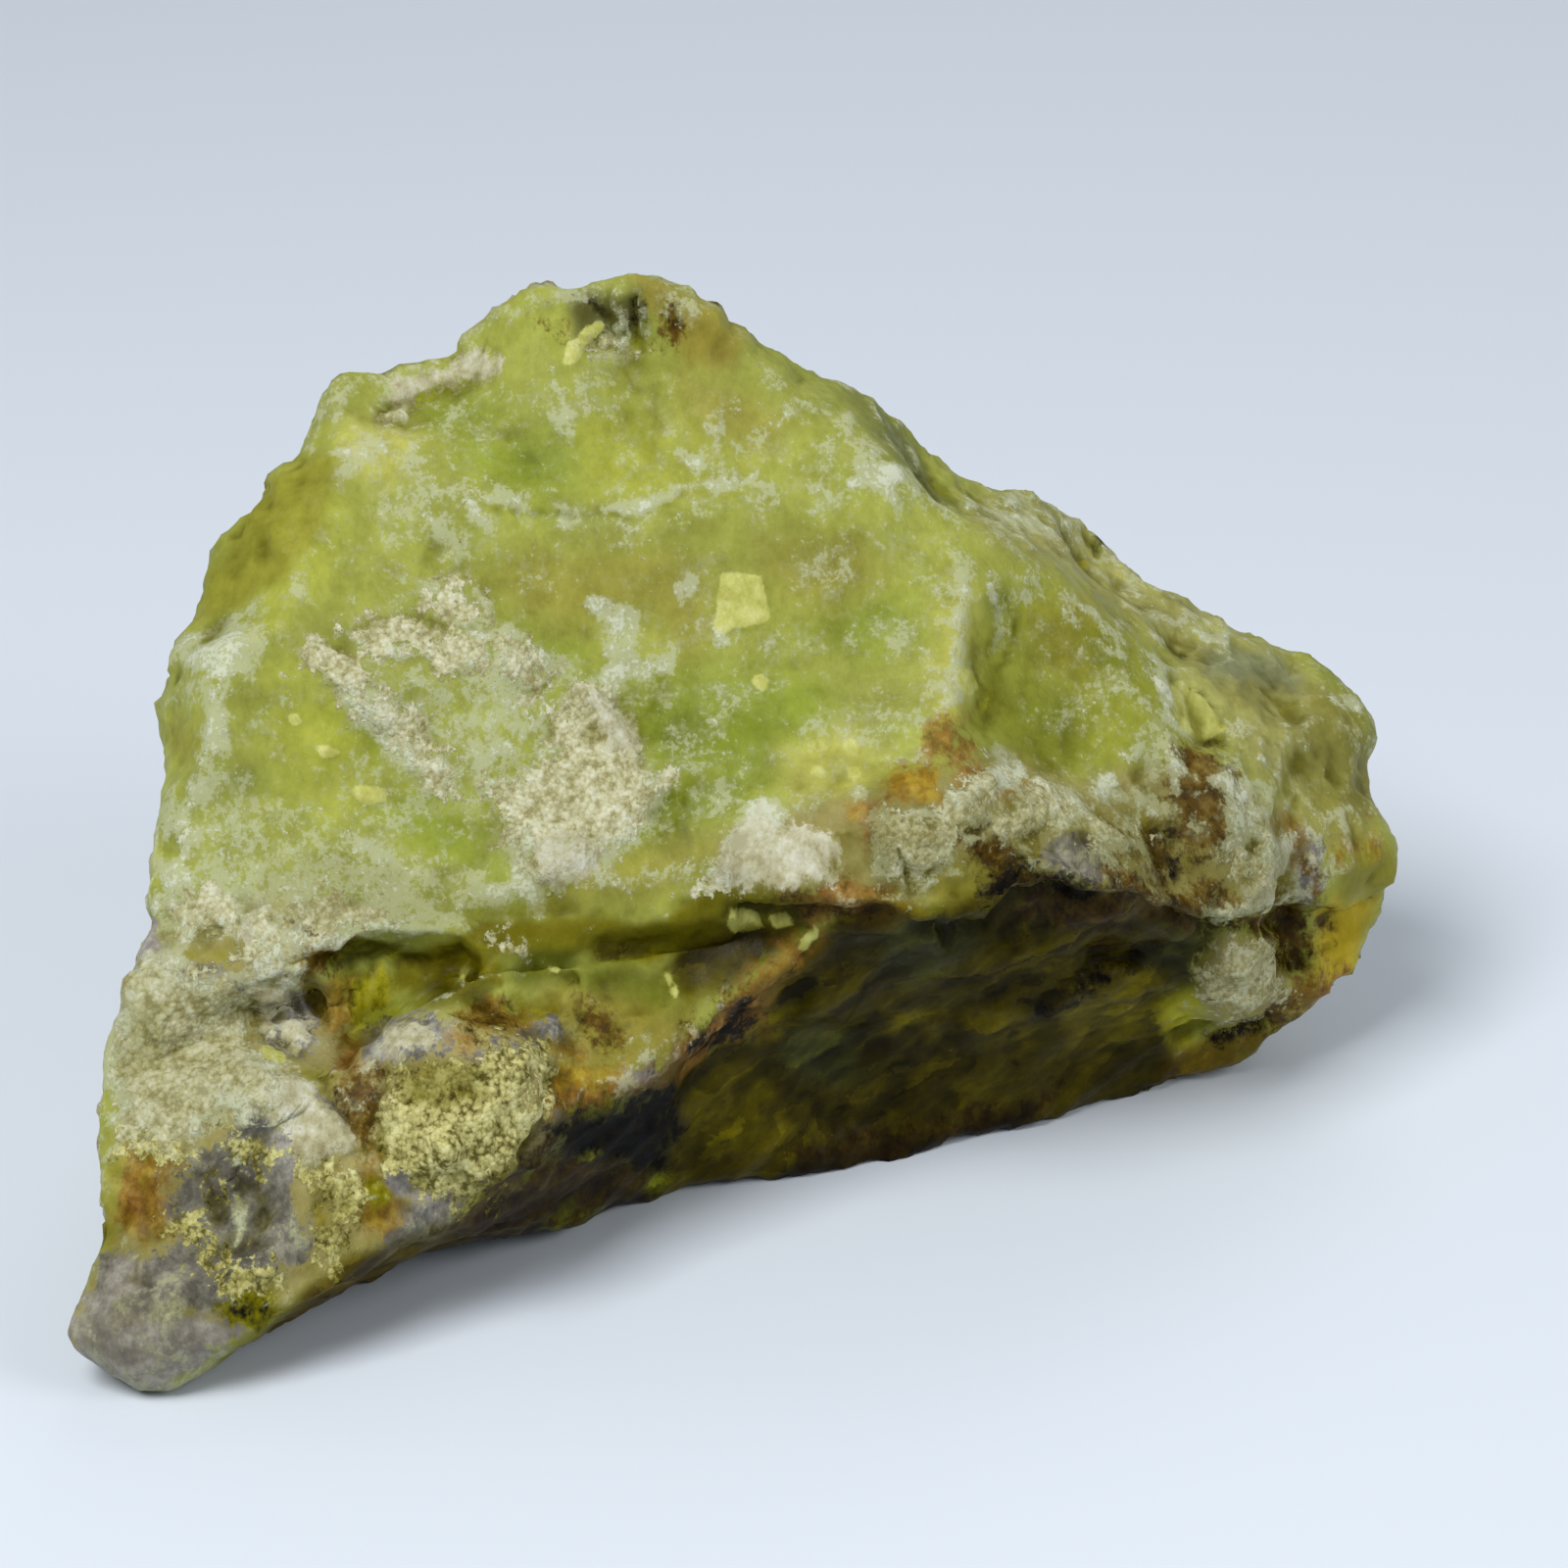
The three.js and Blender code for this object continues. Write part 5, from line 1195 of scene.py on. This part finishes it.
def dust(stone, places, spots, front, sand, rims, dark):
    """How thickly the powder lies at every point."""
    thick = np.full(len(places), DUST_LEAST)
    for thickness, outline in DUST_AREAS:
        share = smooth_step(-DUST_FADE, DUST_FADE, depth_in_area(spots, outline))
        thick = np.maximum(thick, thickness * share)
    for thickness, half, line in DUST_LINES:
        share = smooth_step(-half, half * DUST_LINE_FULL, depth_in_line(spots, line, half))
        thick = np.maximum(thick, thickness * share)
    size, seed, strength = DUST_BACK_CLOUDS
    behind = np.clip(DUST_BACK + wild(places, size, seed) * strength, 0, 1)
    thick = thick * front + behind * (1 - front)
    thick = np.maximum(thick, SAND_MARGIN_DUST * smooth_step(-SAND_MARGIN, 0, sand))
    thick += RIM_DUST * smooth_step(*RIM_HEIGHT, rims)
    for size, seed, strength in DUST_CLOUDS:
        thick += strength * wild(places, size, seed)
    thick *= 1 - CLEANED * on_front(spots, front, CLEAN_AREAS, -CLEAN_EDGE, CLEAN_EDGE)
    thick *= smooth_step(*DUST_LIGHT, dark)
    keep(stone, "dust", thick)


class Mixture:
    """A material's nodes, added and joined one at a time."""

    def __init__(self, name):
        self.material = bpy.data.materials.new(name)
        self.material.use_nodes = True
        self.tree = self.material.node_tree
        self.tree.nodes.clear()

    def add(self, kind, inputs=None, **settings):
        node = self.tree.nodes.new(kind)
        for name, value in settings.items():
            setattr(node, name, value)
        for name, value in (inputs or {}).items():
            self.give(node.inputs[name], value)
        return node

    def give(self, socket, value):
        """Joins an output to the socket, or sets it to a plain value."""
        if isinstance(value, bpy.types.NodeSocket):
            self.tree.links.new(value, socket)
        else:
            socket.default_value = value

    def math(self, operation, *values):
        node = self.add("ShaderNodeMath", operation=operation)
        for socket, value in zip(node.inputs, values):
            self.give(socket, value)
        return node.outputs[0]

    def sum(self, values, shares):
        """The sum of values, each times its share."""
        total = 0.0
        for value, share in zip(values, shares):
            total = self.math("MULTIPLY_ADD", value, share, total)
        return total

    def ramp(self, value, low, high, start=0.0, end=1.0):
        """start below low and end above high, with a smooth rise between them."""
        node = self.add("ShaderNodeMapRange", interpolation_type="SMOOTHSTEP")
        for name, given in (("Value", value), ("From Min", low), ("From Max", high),
                            ("To Min", start), ("To Max", end)):
            self.give(node.inputs[name], given)
        return node.outputs["Result"]

    def blend(self, share, under, over, kind="RGBA", way="MIX"):
        """A mix of two colours, or of two numbers."""
        node = self.add("ShaderNodeMix", data_type=kind, blend_type=way)
        picks = {"RGBA": (0, 6, 7, 2), "FLOAT": (0, 2, 3, 0)}[kind]
        for pick, value in zip(picks, (share, under, over)):
            self.give(node.inputs[pick], value)
        return node.outputs[picks[3]]

    def times(self, colour, other):
        return self.blend(1.0, colour, other, way="MULTIPLY")

    def tones(self, value, stops):
        """A run of colours along a value, as (place, colour) stops."""
        node = self.add("ShaderNodeValToRGB", {"Fac": value})
        run = node.color_ramp
        while len(run.elements) < len(stops):
            run.elements.new(0.5)
        for element, (stop, colour) in zip(run.elements, stops):
            element.position = stop
            element.color = colour
        return node.outputs["Color"]

    def attribute(self, name, output="Fac"):
        return self.add("ShaderNodeAttribute", attribute_name=name).outputs[output]

    def channels(self, colour):
        return list(self.add("ShaderNodeSeparateColor", {"Color": colour}).outputs)

    def noise(self, places, size, detail, roughness, stretch=(1, 1, 1)):
        """Three chances at once, in lumps of this size in millimetres."""
        scaled = self.add("ShaderNodeMapping", {"Vector": places, "Scale": stretch}).outputs[0]
        node = self.add("ShaderNodeTexNoise", {"Vector": scaled, "Scale": 1 / (size * MM),
                                               "Detail": detail, "Roughness": roughness})
        return self.channels(node.outputs["Color"])

    def cells(self, places, size):
        """Cells of this size in millimetres: a chance for each, and how far from its middle."""
        node = self.add("ShaderNodeTexVoronoi", {"Vector": places, "Scale": 1 / (size * MM)})
        return self.channels(node.outputs["Color"])[0], node.outputs["Distance"]


def opal_colour(mixture, places, patchy, fine, lit):
    """The opal's own colour: cloudy, and streaky with small broken panels where it is shaded."""
    cloud = mixture.sum((patchy[0], fine[1]), CLOUD_MIX)
    colour = mixture.times(mixture.attribute("body", "Color"), mixture.tones(cloud, CLOUD_TONES))
    slanted = mixture.add("ShaderNodeMapping", {"Vector": places, "Rotation": STREAK_TURN,
                                                "Scale": STREAK_STRETCH},
                          vector_type="TEXTURE").outputs[0]
    drift = mixture.add("ShaderNodeCombineXYZ", dict(enumerate(patchy))).outputs[0]
    bent = mixture.add("ShaderNodeVectorMath", {0: drift, 1: (PANEL_DRIFT * MM,) * 3, 2: slanted},
                       operation="MULTIPLY_ADD").outputs[0]
    streak = mixture.sum((mixture.noise(slanted, *STREAK)[0], mixture.cells(bent, PANEL)[0], 1.0),
                         STREAK_MIX)
    streaky = mixture.times(colour, mixture.tones(streak, STREAK_TONES))
    return mixture.blend(mixture.ramp(lit, *STREAK_LIGHT, 1, 0), colour, streaky)


def powder_share(mixture, powder, chances, amount):
    """Where the powder lies in one of its ways: its amount there, broken up by chance."""
    picked = [chance[channel] for chance, channel in zip(chances, powder["channels"])]
    thick = mixture.sum(picked + [amount], powder["mix"])
    return mixture.ramp(thick, *powder["edge"], 0, powder["most"])


def stone_material():
    """Opal with its finishes laid over it one after another, each ragged at its edge."""
    mixture = Mixture("opal_with_crusts")
    places = mixture.add("ShaderNodeTexCoord").outputs["Object"]
    patchy, fine, grain = [mixture.noise(places, *chance) for chance in CHANCES]
    crumb, gap = mixture.cells(places, CRUMB)
    # the painted shade, 1 where the stone is fully lit
    lit = mixture.attribute("dark")
    colour = opal_colour(mixture, places, patchy, fine, lit)
    rough = mixture.ramp(patchy[1], *CHANCE_RANGE, *OPAL_ROUGHNESS)
    height = mixture.math("MULTIPLY", fine[0], OPAL_BUMP)
    amount = mixture.attribute("dust")
    powders = {name: powder_share(mixture, powder, (patchy, fine, grain), amount)
               for name, powder in POWDERS.items()}
    for number, finish in enumerate(FINISHES):
        if finish["name"] == CLEAN_FROM:
            for name, share in powders.items():
                colour = mixture.blend(share, colour, stone_paint(POWDERS[name]["colour"]))
            rough = mixture.blend(powders["haze"], rough, HAZE_ROUGHNESS, "FLOAT")
            height = mixture.sum((*powders.values(), height), POWDER_HEIGHTS)
        # Each finish takes the chances' channels in another order, so no two edges are alike.
        one, two, three = number % 3, (number + 1) % 3, (number + 2) % 3
        ragged = finish["ragged"] * CHANCE_SPREAD
        moved = mixture.sum((patchy[one], fine[two], grain[three]),
                            [ragged * share for share in EDGE_MIX])
        depth = mixture.math("ADD", mixture.attribute(finish["name"]), moved)
        share = mixture.ramp(depth, ragged - finish["soft"], ragged + finish["soft"],
                             0, finish.get("cover", COVER))
        if finish["name"] in CRUMBLY:
            tone = mixture.sum((patchy[two], fine[three], crumb, gap, 1.0), CRUMB_MIX)
            crumbly = mixture.sum((gap, fine[three]), CRUMB_BUMP)
            height = mixture.blend(share, height, crumbly, "FLOAT")
        else:
            tone = mixture.sum((patchy[three], fine[one]), CLOUD_MIX)
        shown = mixture.tones(tone, list(zip(TONE_STOPS, map(stone_paint, finish["tones"]))))
        colour = mixture.blend(share, colour, shown)
        rough = mixture.blend(share, rough, finish["rough"], "FLOAT")
    last_specks = mixture.math("MULTIPLY", powders["specks"], SPECKS_OVER_ALL)
    colour = mixture.blend(last_specks, colour, stone_paint(POWDERS["specks"]["colour"]))
    # painted shade: the colour is darkened where the stone is painted dark
    colour = mixture.times(colour, mixture.tones(lit, DARK_TONES))
    bump = mixture.add("ShaderNodeBump", {"Height": height, "Strength": 0.8, "Distance": 1 * MM})
    shader = mixture.add("ShaderNodeBsdfPrincipled", {
        "Base Color": colour, "Roughness": rough, "Normal": bump.outputs[0], "IOR": 1.45,
        "Specular IOR Level": 0.07, "Subsurface Weight": 0.15, "Subsurface Scale": 1.5 * MM,
        "Subsurface Radius": (1.0, 0.9, 0.3)})
    mixture.add("ShaderNodeOutputMaterial", {"Surface": shader.outputs[0]})
    return mixture.material


def floor():
    """A plain pale floor, wide enough to fill the view."""
    bpy.ops.mesh.primitive_plane_add(size=FLOOR_SIDE * MM)
    ground = bpy.context.object
    ground.name = "floor"
    mixture = Mixture("pale_floor")
    shader = mixture.add("ShaderNodeBsdfPrincipled", {"Base Color": paint(*FLOOR_PAINT),
                                                      "Roughness": 0.7})
    mixture.add("ShaderNodeOutputMaterial", {"Surface": shader.outputs[0]})
    ground.data.materials.append(mixture.material)


def studio():
    """Soft light from above the front, and a pale sky all round."""
    world = bpy.data.worlds.new("pale_sky")
    world.use_nodes = True
    sky = world.node_tree.nodes["Background"]
    sky.inputs["Color"].default_value = paint(*SKY_PAINT)
    sky.inputs["Strength"].default_value = SKY_STRENGTH
    bpy.context.scene.world = world
    for spot, side, power in LAMPS:
        bpy.ops.object.light_add(type="AREA", location=Vector(spot) * MM)
        lamp = bpy.context.object
        lamp.rotation_euler = (Vector(spot) - LAMP_AIM).to_track_quat("Z", "Y").to_euler()
        lamp.data.size = side * MM
        lamp.data.energy = power
    bpy.context.scene.view_settings.view_transform = "Standard"


camera()
stone = divided_stone()
swell(stone)
chips = chip(stone)
stroke(stone)
places, normals = places_and_normals(stone)
front = facing_front(normals)
spots = warped(places)
depths = finish_depths(places, spots, front)
roughen(stone, depths, spots, front)
for name, depth in depths.items():
    keep(stone, name, np.clip(depth, -DEPTH_KEPT, DEPTH_KEPT))
rims = bulge(stone, RIM_ROUNDS)
tint(stone, places, spots, front, chips)
dark = shade(stone, normals, spots, front, rims)
dust(stone, places, spots, front, depths["sand"], rims, dark)
stone.data.materials.clear()
stone.data.materials.append(stone_material())
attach(stone, "root")
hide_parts("opal_stone")
floor()
studio()
